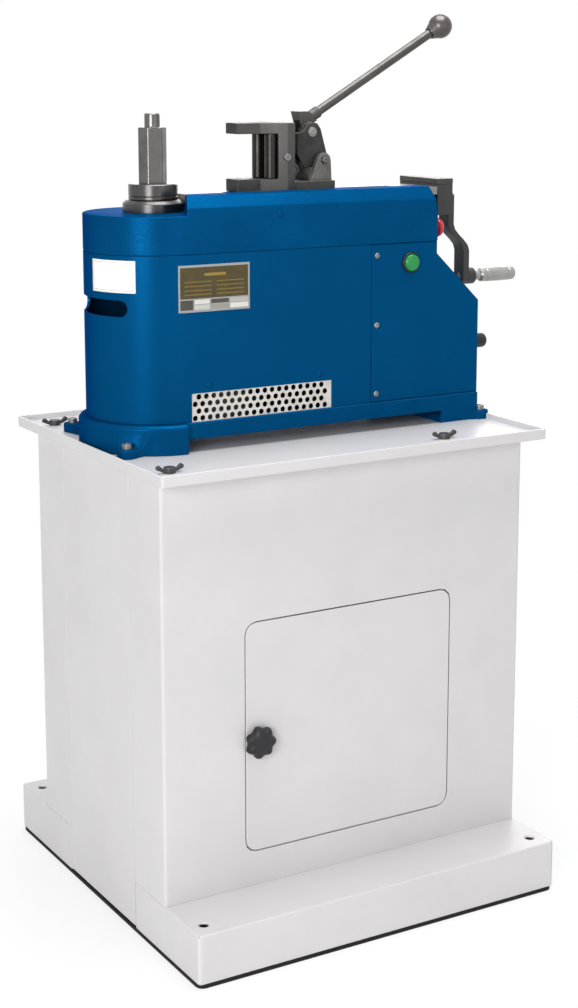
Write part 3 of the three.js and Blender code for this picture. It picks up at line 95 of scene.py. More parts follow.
def studio_floor(near, far):
    """Pale, with the object's shadow near it. What sees the floor directly sees it run to plain
    white between `near` and `far` metres from the middle."""
    material, tree, place = empty_material("studio_floor")
    out = add_node(tree, "VectorMath", {"operation": "LENGTH"}, {0: place})
    fade = add_node(tree, "MapRange", {"interpolation_type": "SMOOTHSTEP"}, {
        "Value": out, "From Min": near, "From Max": far, "To Min": 0.72, "To Max": 1.0})
    share = add_node(tree, "Math", {"operation": "MULTIPLY"}, {0: seen_directly(tree), 1: fade})
    matt = add_node(tree, "BsdfDiffuse", (), {"Color": linear("F4F4F4")})
    glow = add_node(tree, "Emission", (), {"Color": linear("FFFFFF"), "Strength": 1.0})
    both = add_node(tree, "MixShader", (), {0: share, 1: matt, 2: glow})
    add_node(tree, "OutputMaterial", (), {"Surface": both})
    return material


floor_reach, floor_drop = 12.0, 0.0004
floor_mesh = bpy.data.meshes.new("floor")
floor_mesh.from_pydata(
    [(x * floor_reach, y * floor_reach, -floor_drop)
     for x, y in [(-1, -1), (1, -1), (1, 1), (-1, 1)]], [], [(0, 1, 2, 3)])
floor_mesh.materials.append(studio_floor(0.4, 1.3))
floor = bpy.data.objects.new("floor", floor_mesh)
scene.collection.objects.link(floor)

frame_pixels, focal_pixels, shift_pixels, sensor = 1008, 1814, -104, 36.0
tilt_down, turn_right = 10.41, 30.56
camera_data = bpy.data.cameras.new("camera")
camera_data.sensor_width = sensor
camera_data.lens = sensor * focal_pixels / frame_pixels
camera_data.shift_y = shift_pixels / frame_pixels
camera = bpy.data.objects.new("camera", camera_data)
camera.location = (-1.450, -2.493, 1.318)
camera.rotation_euler = (math.radians(90 - tilt_down), 0, math.radians(-turn_right))
scene.collection.objects.link(camera)
scene.camera = camera

world = bpy.data.worlds.new("studio")
world.use_nodes = True
world.node_tree.nodes.clear()
sky_light = add_node(world.node_tree, "Background", (), {"Color": linear("F6F8FC"), "Strength": 0.30})
sky_white = add_node(world.node_tree, "Background", (), {"Color": linear("FFFFFF"), "Strength": 1.0})
sky = add_node(world.node_tree, "MixShader", (), {
    0: seen_directly(world.node_tree), 1: sky_light, 2: sky_white})
add_node(world.node_tree, "OutputWorld", (), {"Surface": sky})
scene.world = world


def lamp(name, place, aim, size, power):
    """A square soft lamp at place that faces aim, `size` metres wide and of `power` watts."""
    data = bpy.data.lights.new(name, "AREA")
    data.size, data.energy = size, power
    light = bpy.data.objects.new(name, data)
    way = np.array(aim) - np.array(place)
    flat = math.hypot(way[0], way[1])
    light.rotation_euler = (math.atan2(flat, -way[2]), 0, math.atan2(way[1], way[0]) - math.pi / 2)
    light.location = place
    scene.collection.objects.link(light)


lamp("lamp_corner", (-2.75, -2.45, 1.6), (0, 0, 0.7), 1.5, 88)
lamp("lamp_front", (0.9, -3.8, 1.3), (0, 0, 0.4), 2.2, 12)
lamp("lamp_top", (0.2, -0.2, 3.8), (0, 0, 0.8), 2.2, 112)
lamp("lamp_back", (2.4, 3.2, 2.4), (0, 0, 0.8), 2.4, 40)

# Rubber mat
# A moulded black rubber mat under the whole plinth. Its skin is dull, finely pebbled and a
# little dusty.


def shown(name, mesh, sharp=50):
    """An object of this mesh in the scene, smooth except where it turns by more than `sharp`."""
    mesh.polygons.foreach_set("use_smooth", np.ones(len(mesh.polygons), bool))
    mesh.set_sharp_from_angle(angle=math.radians(sharp))
    mesh.update()
    piece = bpy.data.objects.new(name, mesh)
    scene.collection.objects.link(piece)
    even = piece.modifiers.new("even_normals", "WEIGHTED_NORMAL")
    even.keep_sharp = True
    even.weight = 60
    return piece


def fitted(piece, material, body, slot, *nodes):
    """Gives a piece its finish, its body and the CAD nodes it stands for; `slot` is not used."""
    piece.data.materials.clear()
    piece.data.materials.append(material)
    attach(piece, body)
    if nodes:
        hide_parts(*nodes)


def eased(node, radius, material, body, slot, sharp=28, segments=2, inner=True):
    """Puts a finished copy in a CAD node's place. Its doubles are merged, its flat faces joined,
    and every edge that turns by more than `sharp` degrees is rounded off to the given radius in
    metres. `inner` says whether hollow corners are rounded too."""
    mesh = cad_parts[node].data.copy()
    mesh.name = node + "_finished"
    work = bmesh.new()
    work.from_mesh(mesh)
    bmesh.ops.remove_doubles(work, verts=work.verts, dist=2e-6)
    bmesh.ops.dissolve_limit(
        work, angle_limit=math.radians(0.5), verts=work.verts, edges=work.edges)
    edges = [e for e in work.edges
             if e.is_manifold and e.calc_face_angle() > math.radians(sharp)
             and (inner or e.is_convex)]
    bmesh.ops.bevel(
        work, geom=edges, offset=radius, offset_type="OFFSET", segments=segments,
        profile=0.5, affect="EDGES", clamp_overlap=False, material=-1)
    work.to_mesh(mesh)
    work.free()
    fitted(shown(mesh.name, mesh), material, body, slot, node)


def mixed(tree, share, first, second):
    """The colour that runs from `first` to `second` as `share` goes from 0 to 1. Each is a node,
    or a colour in hex."""
    ends = [linear(colour) if isinstance(colour, str) else colour for colour in (first, second)]
    return add_node(tree, "Mix", {"data_type": "RGBA"}, {0: share, 6: ends[0], 7: ends[1]})


def edge_wear_and_highlight(tree, radius, most):
    """How far the edges are lightened, from 0 to `most`, as wear and on machined iron also as painted
    highlight: it grows as the cosine between the surface's own direction and the one averaged over
    `radius` metres falls from 0.985 to 0.9."""
    even = add_node(tree, "Bevel", {"samples": 4}, {"Radius": radius})
    own = add_node(tree, "NewGeometry")
    turn = add_node(tree, "VectorMath", {"operation": "DOT_PRODUCT"}, {
        0: even, 1: own.outputs["Normal"]})
    return add_node(tree, "MapRange", (), {
        "Value": turn, "From Min": 0.985, "From Max": 0.9, "To Min": 0.0, "To Max": most})


def surfaced(tree, colour, roughness, metallic, grain=None, height=0.0, others=()):
    """Ends a tree in a surface of this colour and roughness. The node `grain` raises it by up to
    `height` metres, and `others` are more of the shader's inputs."""
    inputs = {"Base Color": colour, "Roughness": roughness, "Metallic": metallic, **dict(others)}
    if grain is not None:
        inputs["Normal"] = add_node(tree, "Bump", (), {
            "Height": grain, "Distance": height, "Strength": 1.0})
    surface = add_node(tree, "BsdfPrincipled", (), inputs)
    add_node(tree, "OutputMaterial", (), {"Surface": surface})


def finish_of(name, colour, tone, metallic, roughness, spread, grain, height, drawn=(1, 1, 1),
              patch=0.12, tint=0.06, gloss=0.5, rim="FFFFFF", rubbed=None, edge=0.0015):
    """A finish with its grain. The colour runs to `tone` in slow patches `patch` metres wide, the
    roughness by plus or minus `spread`, and the bump has grains `grain` metres wide and `height`
    metres high, drawn out by `drawn`. Edges are rubbed to the colour `rubbed` where the surface's
    own direction leaves the one averaged over `edge` metres. `gloss` is the level of the clear
    reflection, 0.5 for bare plastic and less under a soft binder, and `rim` is the reflection's
    colour at a grazing angle."""
    material, tree, place = empty_material(name)
    along = add_node(tree, "Mapping", (), {"Vector": place, "Scale": drawn})
    slow = add_node(tree, "TexNoise", (), {
        "Vector": place, "Scale": 1 / patch, "Detail": 4.0, "Roughness": 0.6})
    fine = add_node(tree, "TexNoise", (), {
        "Vector": along, "Scale": 1 / grain, "Detail": 3.0, "Roughness": 0.55})
    both = add_node(tree, "Math", {"operation": "MULTIPLY_ADD"}, {0: fine, 1: tint * 4, 2: slow})
    share = add_node(tree, "MapRange", (), {
        "Value": both, "From Min": 0.3 + tint * 2, "From Max": 0.7 + tint * 2})
    paint = mixed(tree, share, colour, tone)
    if rubbed:
        broken = add_node(tree, "Math", {"operation": "MULTIPLY"}, {
            0: edge_wear_and_highlight(tree, edge, 0.7), 1: share})
        paint = mixed(tree, broken, paint, rubbed)
    rough = add_node(tree, "MapRange", (), {
        "Value": both, "From Min": 0.25 + tint * 2, "From Max": 0.75 + tint * 2,
        "To Min": roughness - spread, "To Max": roughness + spread})
    surfaced(tree, paint, rough, metallic, fine, height,
             {"Specular IOR Level": gloss, "Specular Tint": linear(rim)})
    return material


# Black natural rubber, moulded: pebbles 1.6 mm wide, dull with a trace of dust
rubber = finish_of("moulded_black_rubber", "161616", "232322", 0.0, 0.82, 0.08, 0.0016, 0.0002,
                   gloss=0.2)
eased("rubber_mat", 0.0008, rubber, "frame", "black_rubber")

# Sheet-metal stand
# Plinth, column halves, side strips, tray and door, folded from sheet steel. The folds are
# softly rounded, sharper where two sheets meet flush.
# Powder coat: an even light grey skin with a fine orange peel and slow changes of gloss
powder = finish_of("light_grey_powder_coat", "D1CFCF", "CCCACA", 0.0, 0.36, 0.06, 0.0018, 0.00004,
                   rubbed="E2E1E0")
for part, fold in [("plinth", 0.0025), ("column_front_shell", 0.0006),
                   ("column_back_shell", 0.0006), ("side_panel_left", 0.0006),
                   ("side_panel_right", 0.0006), ("tray", 0.0012)]:
    eased(part, fold, powder, "frame", "light_paint")
eased("door", 0.001, powder, "door", "light_paint")

# Door hinge pin and latch bar
# A drawn steel pin in the door's rolled barrel and a punched latch bar behind the door, both
# zinc plated.
# Zinc plate: a soft grey metal with a faint mottle, brighter on its edges
zinc = finish_of("zinc_plated_steel", "8E8D8A", "787774", 0.8, 0.38, 0.08, 0.0012, 0.00002,
                 patch=0.02, rubbed="B4B3B0", edge=0.0006)
eased("door_hinge_pin", 0.0003, zinc, "frame", "zinc_steel")
eased("latch_cam", 0.0004, zinc, "latch", "zinc_steel")

# Star knob
# A seven-lobed knob moulded in black glass-filled nylon round a steel stem, which passes through
# the door to the latch bar. Its face is domed and its lobes are softly rounded.


def boxed(node):
    """A CAD node's lowest corner, its highest corner and its middle."""
    low, high = np.array(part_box(node))
    return low, high, (low + high) / 2


def softened(corners, radius, steps=5, closed=False):
    """A profile with its corners eased. Each corner p gives way to the curve
    (1 - t)^2 a + 2 t (1 - t) p + t^2 b, where a and b lie `radius` from p along its two sides."""
    spot = np.array(corners, float)
    back, ahead = np.roll(spot, 1, 0) - spot, np.roll(spot, -1, 0) - spot
    reach = np.broadcast_to(np.array(radius, float), len(spot)).copy()
    if not closed:
        reach[[0, -1]] = 0
    back_length = np.maximum(np.linalg.norm(back, axis=1), 1e-9)
    ahead_length = np.maximum(np.linalg.norm(ahead, axis=1), 1e-9)
    a = spot + back * (np.minimum(reach, back_length * 0.45) / back_length)[:, None]
    b = spot + ahead * (np.minimum(reach, ahead_length * 0.45) / ahead_length)[:, None]
    t = np.linspace(0, 1, steps)[None, :, None]
    curve = (1 - t) ** 2 * a[:, None] + 2 * t * (1 - t) * spot[:, None] + t ** 2 * b[:, None]
    curve = curve.reshape(-1, 2)
    keep = np.append(True, np.linalg.norm(np.diff(curve, axis=0), axis=1) > 1e-7)
    return curve[keep]


def closed_mesh(name, points, faces):
    """A mesh of these points and faces, with its doubles merged and its faces turned outwards."""
    mesh = bpy.data.meshes.new(name)
    mesh.from_pydata(points.reshape(-1, 3).tolist(), [], faces)
    work = bmesh.new()
    work.from_mesh(mesh)
    bmesh.ops.remove_doubles(work, verts=work.verts, dist=1e-6)
    bmesh.ops.recalc_face_normals(work, faces=work.faces)
    work.to_mesh(mesh)
    work.free()
    return mesh


def grid_mesh(name, points, rows_close=False, columns_close=True):
    """Mesh of a grid of points, rows by columns. Point (i, j) makes a face with (i + 1, j) and
    (i, j + 1), and either direction may run round to its start. Open ends of a tube are capped."""
    rows, columns = points.shape[:2]
    index = np.arange(rows * columns).reshape(rows, columns)
    down = np.vstack([index, index[:1]]) if rows_close else index
    both = np.hstack([down, down[:, :1]]) if columns_close else down
    quads = np.stack([both[:-1, :-1], both[:-1, 1:], both[1:, 1:], both[1:, :-1]], -1)
    faces = quads.reshape(-1, 4).tolist()
    if columns_close and not rows_close:
        faces += [index[0].tolist(), index[-1].tolist()]
    return closed_mesh(name, points, faces)


def spun(name, profile, centre, axis, sides=48, bored=False, reshape=None, sharp=50):
    """A turned piece: the point at angle a on profile row (r, h) is
    centre + h axis + r (cos a u + sin a v), with u and v square to the axis and to each other.
    `bored` closes the profile on itself, and reshape(a, r, h) gives another radius."""
    along = np.array(axis, float) / np.linalg.norm(axis)
    u = np.array([0, 1.0, 0]) if abs(along[0]) > 0.5 else np.array([1.0, 0, 0])
    v = np.cross(along, u)
    angle = np.arange(sides)[None, :] * 2 * math.pi / sides
    reach, height = profile[:, :1], profile[:, 1:]
    if reshape:
        reach = reshape(angle, reach, height)
    reach = np.broadcast_to(reach, (len(profile), sides))
    points = (np.array(centre) + height[..., None] * along
              + reach[..., None] * (np.cos(angle)[..., None] * u + np.sin(angle)[..., None] * v))
    return shown(name, grid_mesh(name, points, rows_close=bored), sharp)


def lobed(angle, reach, height):
    """r less 2 mm x (1 - cos 7a) beyond 12 mm from the axis, growing over 10 mm."""
    share = np.clip((reach - 0.012) / 0.010, 0, 1)
    return reach - 0.002 * share * (1 - np.cos(7 * angle))


low, high, middle = boxed("star_knob")
knob_depth = high[1] - low[1]
stem_radius, hub_radius, knob_radius, hub_length = 0.005, 0.011, 0.026, 0.0039
head_foot = knob_depth - 0.017
knob_rows = softened([
    (0, 0), (stem_radius, 0), (stem_radius, head_foot - hub_length),
    (hub_radius, head_foot - hub_length), (hub_radius + 0.0002, head_foot),
    (knob_radius - 0.0005, head_foot), (knob_radius, knob_depth - 0.010),
    (knob_radius - 0.004, knob_depth - 0.0035), (0.010, knob_depth - 0.0006), (0, knob_depth)],
    [0, 0.0003, 0.0001, 0.0003, 0.0006, 0.002, 0.004, 0.005, 0.006, 0])
# Glass-filled nylon, moulded and spark-textured: black and satin, with its grain drawn at 0.8 mm,
# coarser than the real one, so that it shows
nylon = finish_of("moulded_black_nylon", "1E1E20", "29292B", 0.0, 0.42, 0.06, 0.0008, 0.00006,
                  gloss=0.3, rubbed="3C3C3E", edge=0.001)
star = spun("star_knob_turned", knob_rows, (middle[0], high[1], middle[2]), (0, -1, 0), 112,
            reshape=lobed)
fitted(star, nylon, "latch", "black_plastic", "star_knob")

# Wing screws of the tray
# Four forged wing screws, zinc plated, clamp the tray on the column's flanges.
# Dulled zinc: dark grey and blotched by handling, pale on the rubbed edges of the wings
dull_zinc = finish_of("dulled_zinc", "575755", "454543", 0.7, 0.48, 0.1, 0.0014, 0.00008,
                      patch=0.01, rubbed="858582", edge=0.001)
for i in range(1, 5):
    eased(f"wing_nut_{i}", 0.0009, dull_zinc, "frame", "zinc_steel", segments=3)

# Base casting and its screws
# The base with its four ears is cast iron, ground off at the seams and enamelled. Socket-head
# screws hold it down. Only its outer edges are rounded, because the ears' roots meet in corners.
# Enamel on a casting: deep blue, with the sand's grain showing through the gloss
cast_enamel = finish_of("blue_enamel_on_cast_iron", "044876", "03426D", 0.34, 0.32, 0.05, 0.005,
                        0.00028, patch=0.09, gloss=0.0, rim="0A6FC0", rubbed="1A639C", edge=0.002)
eased("base_casting", 0.0018, cast_enamel, "frame", "blue_paint", segments=3, inner=False)

shank_radius, shank_length, head_radius, head_height = 0.004, 0.021, 0.0075, 0.008
socket_radius, socket_floor = 0.0043, 0.0035


def socket_head(angle, reach, height):
    """A hexagon of the row's radius, r cos 30 / cos((a + 30) mod 60 - 30), inside the socket, and
    24 knurls 0.2 mm deep round the head's side."""
    turn = (angle + math.pi / 6) % (math.pi / 3) - math.pi / 6
    hexagon = reach * math.cos(math.pi / 6) / np.cos(turn)
    socket = (reach < socket_radius) & (height > 0.001)
    side = (reach > head_radius - 0.0001) & (height > 0.0008) & (height < head_height - 0.0012)
    return np.where(socket, hexagon, reach - side * 0.0001 * (1 + np.cos(24 * angle)))


screw_rows = softened([
    (0, -shank_length), (shank_radius - 0.0005, -shank_length),
    (shank_radius, 0.0005 - shank_length), (shank_radius, 0), (head_radius, 0),
    (head_radius, head_height), (socket_radius, head_height),
    (socket_radius - 0.0001, socket_floor), (0, socket_floor - 0.0007)],
    [0, 0.0002, 0.0002, 0, 0.0003, 0.0009, 0.0003, 0, 0], steps=4)
for i in range(1, 5):
    low, high, middle = boxed(f"base_bolt_{i}")
    screw = spun(f"base_screw_{i}_turned", screw_rows, (middle[0], middle[1], high[2] - head_height),
                 (0, 0, 1), 72, reshape=socket_head)
    fitted(screw, zinc, "frame", "zinc_steel", f"base_bolt_{i}")

# Body casing, end and covers
# The round-ended casing, the sloped end box and its two covers are sheet steel. Small domed
# screws with a cross recess hold the covers, and three more, painted over, the casing.
# Enamel on sheet: smooth, deep blue and softly glossy, a little paler where edges are rubbed
enamel = finish_of("blue_enamel_on_sheet", "044876", "03446F", 0.34, 0.3, 0.04, 0.0022, 0.00005,
                   patch=0.2, gloss=0.0, rim="0A6FC0", rubbed="145C94")
for part, fold in [("body_casing", 0.0008), ("end_housing", 0.001), ("front_cover", 0.0005),
                   ("rear_cover", 0.0005)]:
    eased(part, fold, enamel, "frame", "blue_paint")


def cross_recess(mesh, centre, side):
    """Presses a cross into a dome: points within 0.7 mm of either diagonal and within 2.7 mm of
    the middle sink by up to 1.4 mm, less towards the ends of the cross."""
    spots = np.empty(len(mesh.vertices) * 3)
    mesh.vertices.foreach_get("co", spots)
    spots = spots.reshape(-1, 3)
    across, up = spots[:, 0] - centre[0], spots[:, 2] - centre[2]
    arm = np.minimum(abs(across + up), abs(across - up)) / math.sqrt(2)
    reach = np.hypot(across, up)
    proud = (spots[:, 1] - centre[1]) * side > 0.0008
    sink = np.clip(1 - arm / 0.0007, 0, 1) ** 0.4 * np.clip(1 - reach / 0.0027, 0, 1) ** 0.5
    spots[:, 1] -= side * 0.0014 * sink * proud
    mesh.vertices.foreach_set("co", spots.ravel())
    mesh.update()


cover_low, cover_high = np.array(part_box("front_cover"))
front_y, back_y = cover_low[1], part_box("rear_cover")[1][1]
dome_radius, dome_rise = 0.0048, 0.0026
lift = np.linspace(0, math.pi / 2, 15)
dome_rows = np.vstack([
    [(0, -0.001), (dome_radius - 0.0002, -0.001)],
    np.stack([dome_radius * np.cos(lift), dome_rise * np.sin(lift)], -1)])
cover_x = cover_low[0] + 0.0095
cover_heights = np.linspace(cover_high[2] - 0.016, cover_low[2] + 0.012, 3)
casing_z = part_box("ventilation_grille")[1][2] + 0.0113
rim_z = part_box("top_housing")[1][2] - 0.032
bare_places = [(cover_x, y, z, side) for y, side in [(front_y, -1), (back_y, 1)]
               for z in cover_heights]
painted_places = [(-0.176, front_y, casing_z, -1), (0.020, front_y, casing_z, -1),
                  (-0.052, front_y, rim_z, -1)]
for i, (x, y, z, side) in enumerate(bare_places + painted_places):
    head = spun(f"cover_screw_{i + 1}", dome_rows, (x, y, z), (0, side, 0), 40, sharp=60)
    cross_recess(head.data, (x, y, z), side)
    bare = i < len(bare_places)
    fitted(head, zinc if bare else enamel, "frame", "zinc_steel" if bare else "blue_paint")

# Label on the round end
# A plain white vinyl label, 82 mm wide and 49 mm high, stuck round the casing above its slot.
# Its printed field is left bare apart from a thin grey border.
casing_low, casing_high, casing_middle = boxed("body_casing")
body_radius = (casing_high[1] - casing_low[1]) / 2
axis_x, axis_y = casing_low[0] + body_radius, casing_middle[1]
label_high = casing_high[2] - 0.007
label_low, label_start, label_end = label_high - 0.0485, math.radians(-174), math.radians(-131)
label_radius = body_radius + 0.0001
turn = np.linspace(label_start, label_end, 33)[:, None]
rise = np.linspace(label_low, label_high, 13)[None, :]
label_points = np.stack(np.broadcast_arrays(
    axis_x + label_radius * np.cos(turn), axis_y + label_radius * np.sin(turn), rise), -1)
label = shown("end_label", grid_mesh("end_label", label_points, columns_close=False))
thickness = label.modifiers.new("vinyl", "SOLIDIFY")
thickness.thickness, thickness.offset = 0.0003, 1.0


def white_vinyl():
    """Gloss white vinyl with a thin grey line 3 mm inside its edges. The line lies where the
    lesser of the distances to the four edges, measured round the casing and up, is 3 to 3.7 mm."""
    material, tree, place = empty_material("gloss_white_vinyl")
    spot = add_node(tree, "SeparateXYZ", (), {0: place})
    east = add_node(tree, "Math", {"operation": "SUBTRACT"}, {0: spot.outputs["X"], 1: axis_x})
    north = add_node(tree, "Math", {"operation": "SUBTRACT"}, {0: spot.outputs["Y"], 1: axis_y})
    angle = add_node(tree, "Math", {"operation": "ARCTAN2"}, {0: north, 1: east})
    arc = add_node(tree, "Math", {"operation": "MULTIPLY"}, {0: angle, 1: label_radius})
    insides = []
    for here, start, end in [(arc, label_start * label_radius, label_end * label_radius),
                             (spot.outputs["Z"], label_low, label_high)]:
        off = add_node(tree, "Math", {"operation": "SUBTRACT"}, {0: here, 1: (start + end) / 2})
        off = add_node(tree, "Math", {"operation": "ABSOLUTE"}, {0: off})
        insides.append(add_node(tree, "Math", {"operation": "SUBTRACT"}, {
            0: (end - start) / 2, 1: off}))
    nearest = add_node(tree, "Math", {"operation": "MINIMUM"}, {0: insides[0], 1: insides[1]})
    line = add_node(tree, "Math", {"operation": "COMPARE"}, {0: nearest, 1: 0.00335, 2: 0.00035})
    speck = add_node(tree, "TexNoise", (), {"Vector": place, "Scale": 90.0, "Detail": 3.0})
    colour = mixed(tree, line, mixed(tree, speck, "F2F2F0", "EBEAE7"), "A9A6A2")
    surfaced(tree, colour, 0.35, 0.0, others={"Specular IOR Level": 0.3})
    return material


fitted(label, white_vinyl(), "frame", "light_paint")

# Ventilation grille
# A punched sheet of zinc-plated steel, 1.2 mm thick, with 8.6 mm holes in four staggered rows.
# It closes the window low in the casing's front.
low, high = np.array(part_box("ventilation_grille"))
pitch, row_pitch, hole_radius, margin = 0.0128, 0.0109, 0.0043, 0.006
rows = 4
foot = (low[2] + high[2] - (rows - 1) * row_pitch) / 2
# A cell's outline, 24 points round it as shares of the pitches, and the hole's rim inside it
cell_shares = np.concatenate([
    np.stack([np.full(4, 0.5), np.arange(-2, 2) / 4], -1),
    np.stack([np.arange(4, -4, -1) / 8, np.full(8, 0.5)], -1),
    np.stack([np.full(4, -0.5), np.arange(2, -2, -1) / 4], -1),
    np.stack([np.arange(-4, 4) / 8, np.full(8, -0.5)], -1)])
cell = cell_shares * np.array([pitch, row_pitch])
heading = np.arctan2(cell[:, 1], cell[:, 0])
rim = hole_radius * np.stack([np.cos(heading), np.sin(heading)], -1)
middles, fills = [], []
for row in range(rows):
    shift = (row % 2) * pitch / 2
    count = 1 + int((high[0] - low[0] - 2 * margin - shift) / pitch)
    start = low[0] + margin + shift
    middles += [(start + i * pitch, foot + row * row_pitch) for i in range(count)]
    base = foot + (row - 0.5) * row_pitch
    left, right = start - pitch / 2, start + (count - 0.5) * pitch
    fills += [(x, x2, base, base + row_pitch) for x, x2 in [(low[0], left), (right, high[0])]
              if x2 - x > 1e-5]
fills += [(low[0], high[0], low[2], foot - row_pitch / 2),
          (low[0], high[0], foot + (rows - 0.5) * row_pitch, high[2])]
middles = np.array(middles)
rings = np.stack([middles[:, None] + rim, middles[:, None] + cell], 1)
count, ring_size = len(middles), len(cell)
index = np.arange(count * 2 * ring_size).reshape(count, 2, ring_size)
around = np.roll(index, -1, 2)
quads = np.stack([index[:, 0], around[:, 0], around[:, 1], index[:, 1]], -1).reshape(-1, 4)
corners = np.array([[(x, z), (x2, z), (x2, z2), (x, z2)] for x, x2, z, z2 in fills])
flat = np.vstack([rings.reshape(-1, 2), corners.reshape(-1, 2)])
spots = np.stack([flat[:, 0], np.full(len(flat), low[1]), flat[:, 1]], -1)
more = (count * 2 * ring_size + np.arange(len(fills) * 4)).reshape(-1, 4)
grille_mesh = closed_mesh("punched_grille", spots, quads.tolist() + more.tolist())
if sum(face.normal.y for face in grille_mesh.polygons) > 0:
    grille_mesh.flip_normals()
grille = shown("ventilation_grille_punched", grille_mesh)
grille_mesh.polygons.foreach_set("use_smooth", np.zeros(len(grille_mesh.polygons), bool))
thickness = grille.modifiers.new("sheet", "SOLIDIFY")
thickness.thickness, thickness.offset = high[1] - low[1], -1.0
# Bright zinc over punched sheet: pale, a little mottled
bright_zinc = finish_of("bright_zinc_sheet", "DAD6D0", "C6C1BA", 0.35, 0.42, 0.08, 0.002, 0.00003,
                        patch=0.02)
fitted(grille, bright_zinc, "frame", "zinc_steel", "ventilation_grille")

# Rating plate
# A thin aluminium plate on the casing's front, bent a little where it meets the round end. It
# has a bright rim, a dark bronze-green printed field and a ruled strip of pale cells, all bare.


def printed_plate(left, right, foot, top):
    """Satin aluminium, brushed along, with printed fields in soft ink. A field is 1 where a
    coordinate is within half its width of its middle and the other is within half its height."""
    material, tree, place = empty_material("printed_satin_aluminium")
    spot = add_node(tree, "SeparateXYZ", (), {0: place})
    brushed = add_node(tree, "Mapping", (), {"Vector": place, "Scale": (0.06, 1, 1)})
    grain = add_node(tree, "TexNoise", (), {"Vector": brushed, "Scale": 900.0, "Detail": 3.0})
    cloud = add_node(tree, "TexNoise", (), {"Vector": place, "Scale": 70.0, "Detail": 4.0})
    colour = mixed(tree, grain, "A4A6A6", "8D8F8F")
    wide, tall = right - left, top - foot
    # Left, right, foot and top as shares of the plate, and the ink's two colours
    field_shares = [
        (0.024, 0.976, 0.29, 0.95, "3C392E", "5F5330"), (0.024, 0.20, 0.05, 0.26, "46433F", "57534E"),
        (0.22, 0.43, 0.17, 0.26, "C9C6C0", "D8D5CF"), (0.22, 0.43, 0.05, 0.15, "B4B1AB", "C6C3BD"),
        (0.45, 0.70, 0.17, 0.26, "4A4741", "5A564F"), (0.45, 0.70, 0.05, 0.15, "8E8B84", "9C9992"),
        (0.72, 0.976, 0.17, 0.26, "A9A6A0", "B5B2AC"), (0.72, 0.976, 0.05, 0.15, "D0CDC7", "DAD7D1")]
    field_shares += [(x1, x2, rise, rise + 0.022, "84703A", "6E6038")
                     for x1, x2 in [(0.08, 0.46), (0.53, 0.92)] for rise in (0.36, 0.45, 0.54, 0.63)]
    field_shares += [(0.36, 0.66, 0.76, 0.82, "9C8340", "84703A")]
    for x1, x2, z1, z2, ink, other in field_shares:
        across, up = [
            add_node(tree, "Math", {"operation": "COMPARE"}, {
                0: spot.outputs[axis], 1: start + span * (a + b) / 2, 2: span * (b - a) / 2})
            for axis, start, span, a, b in [("X", left, wide, x1, x2), ("Z", foot, tall, z1, z2)]]
        within = add_node(tree, "Math", {"operation": "MULTIPLY"}, {0: across, 1: up})
        colour = mixed(tree, within, colour, mixed(tree, cloud, ink, other))
    surfaced(tree, colour, 0.42, 0.3, others={"Specular IOR Level": 0.2})
    return material


low, high = np.array(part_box("rating_plate"))
plate_look = printed_plate(low[0], high[0], low[2], high[2])
eased("rating_plate", 0.0002, plate_look, "frame", "plate_silver")

# Top housing and slideway
# The top housing with its raised bed is cast iron under the same blue enamel. The way on it is
# steel, ground lengthwise.
eased("top_housing", 0.002, cast_enamel, "frame", "blue_paint", segments=3)
# Ground steel: fine lines along the way, drawn 1.2 mm apart, coarser than a wheel leaves them
ground = finish_of("ground_steel", "8D8C89", "7B7A77", 0.8, 0.36, 0.06, 0.0012, 0.00001,
                   drawn=(0.04, 1, 1), rubbed="B4B3B0", edge=0.0008)
eased("slideway", 0.0006, ground, "frame", "bright_steel")

# Bending shaft and its bearings
# The shaft is turned from steel bar with a milled hexagon for the former, its corners turned and
# chamfered, and a stud with a centre hole on top. A grooved collar and a flanged bearing carry it.


def turned_steel(name, centre, axis, colour, tone, metallic, roughness, feed=0.0007):
    """Turned steel: noise of (distance from the axis, 0, height along it) draws rings `feed`
    metres apart round the piece, in the colour and in the bump. They are coarser than the 0.2 mm
    that a lathe leaves, so that they show."""
    material, tree, place = empty_material(name)
    centre, axis = tuple(centre), tuple(axis)
    moved = add_node(tree, "VectorMath", {"operation": "SUBTRACT"}, {0: place, 1: centre})
    height = add_node(tree, "VectorMath", {"operation": "DOT_PRODUCT"}, {0: moved, 1: axis})
    rise = add_node(tree, "VectorMath", {"operation": "SCALE"}, {0: axis, "Scale": height})
    off = add_node(tree, "VectorMath", {"operation": "SUBTRACT"}, {0: moved, 1: rise})
    out = add_node(tree, "VectorMath", {"operation": "LENGTH"}, {0: off})
    rings = add_node(tree, "CombineXYZ", (), {"X": out, "Z": height})
    line = add_node(tree, "TexNoise", (), {"Vector": rings, "Scale": 1 / feed, "Detail": 2.0})
    cloud = add_node(tree, "TexNoise", (), {"Vector": place, "Scale": 45.0, "Detail": 4.0})
    both = add_node(tree, "Math", {"operation": "MULTIPLY_ADD"}, {0: line, 1: 0.5, 2: cloud})
    share = add_node(tree, "MapRange", (), {"Value": both, "From Min": 0.5, "From Max": 1.0})
    rough = add_node(tree, "MapRange", (), {
        "Value": cloud, "From Min": 0.3, "From Max": 0.7,
        "To Min": roughness - 0.06, "To Max": roughness + 0.06})
    surfaced(tree, mixed(tree, share, colour, tone), rough, metallic, line, 0.000005)
    return material


low, high, middle = boxed("main_shaft")
collar_low, collar_high, collar_middle = boxed("shaft_collar")
shaft_middle = (collar_middle[0], collar_middle[1], 0)
hex_foot, hex_rise, hex_flat, hex_turn = collar_high[2], 0.085, 0.0384, math.radians(44.4)
hex_top = hex_foot + hex_rise
shaft_radius, corner_radius, stud_radius, centre_radius = 0.024, 0.0216, 0.01175, 0.0032


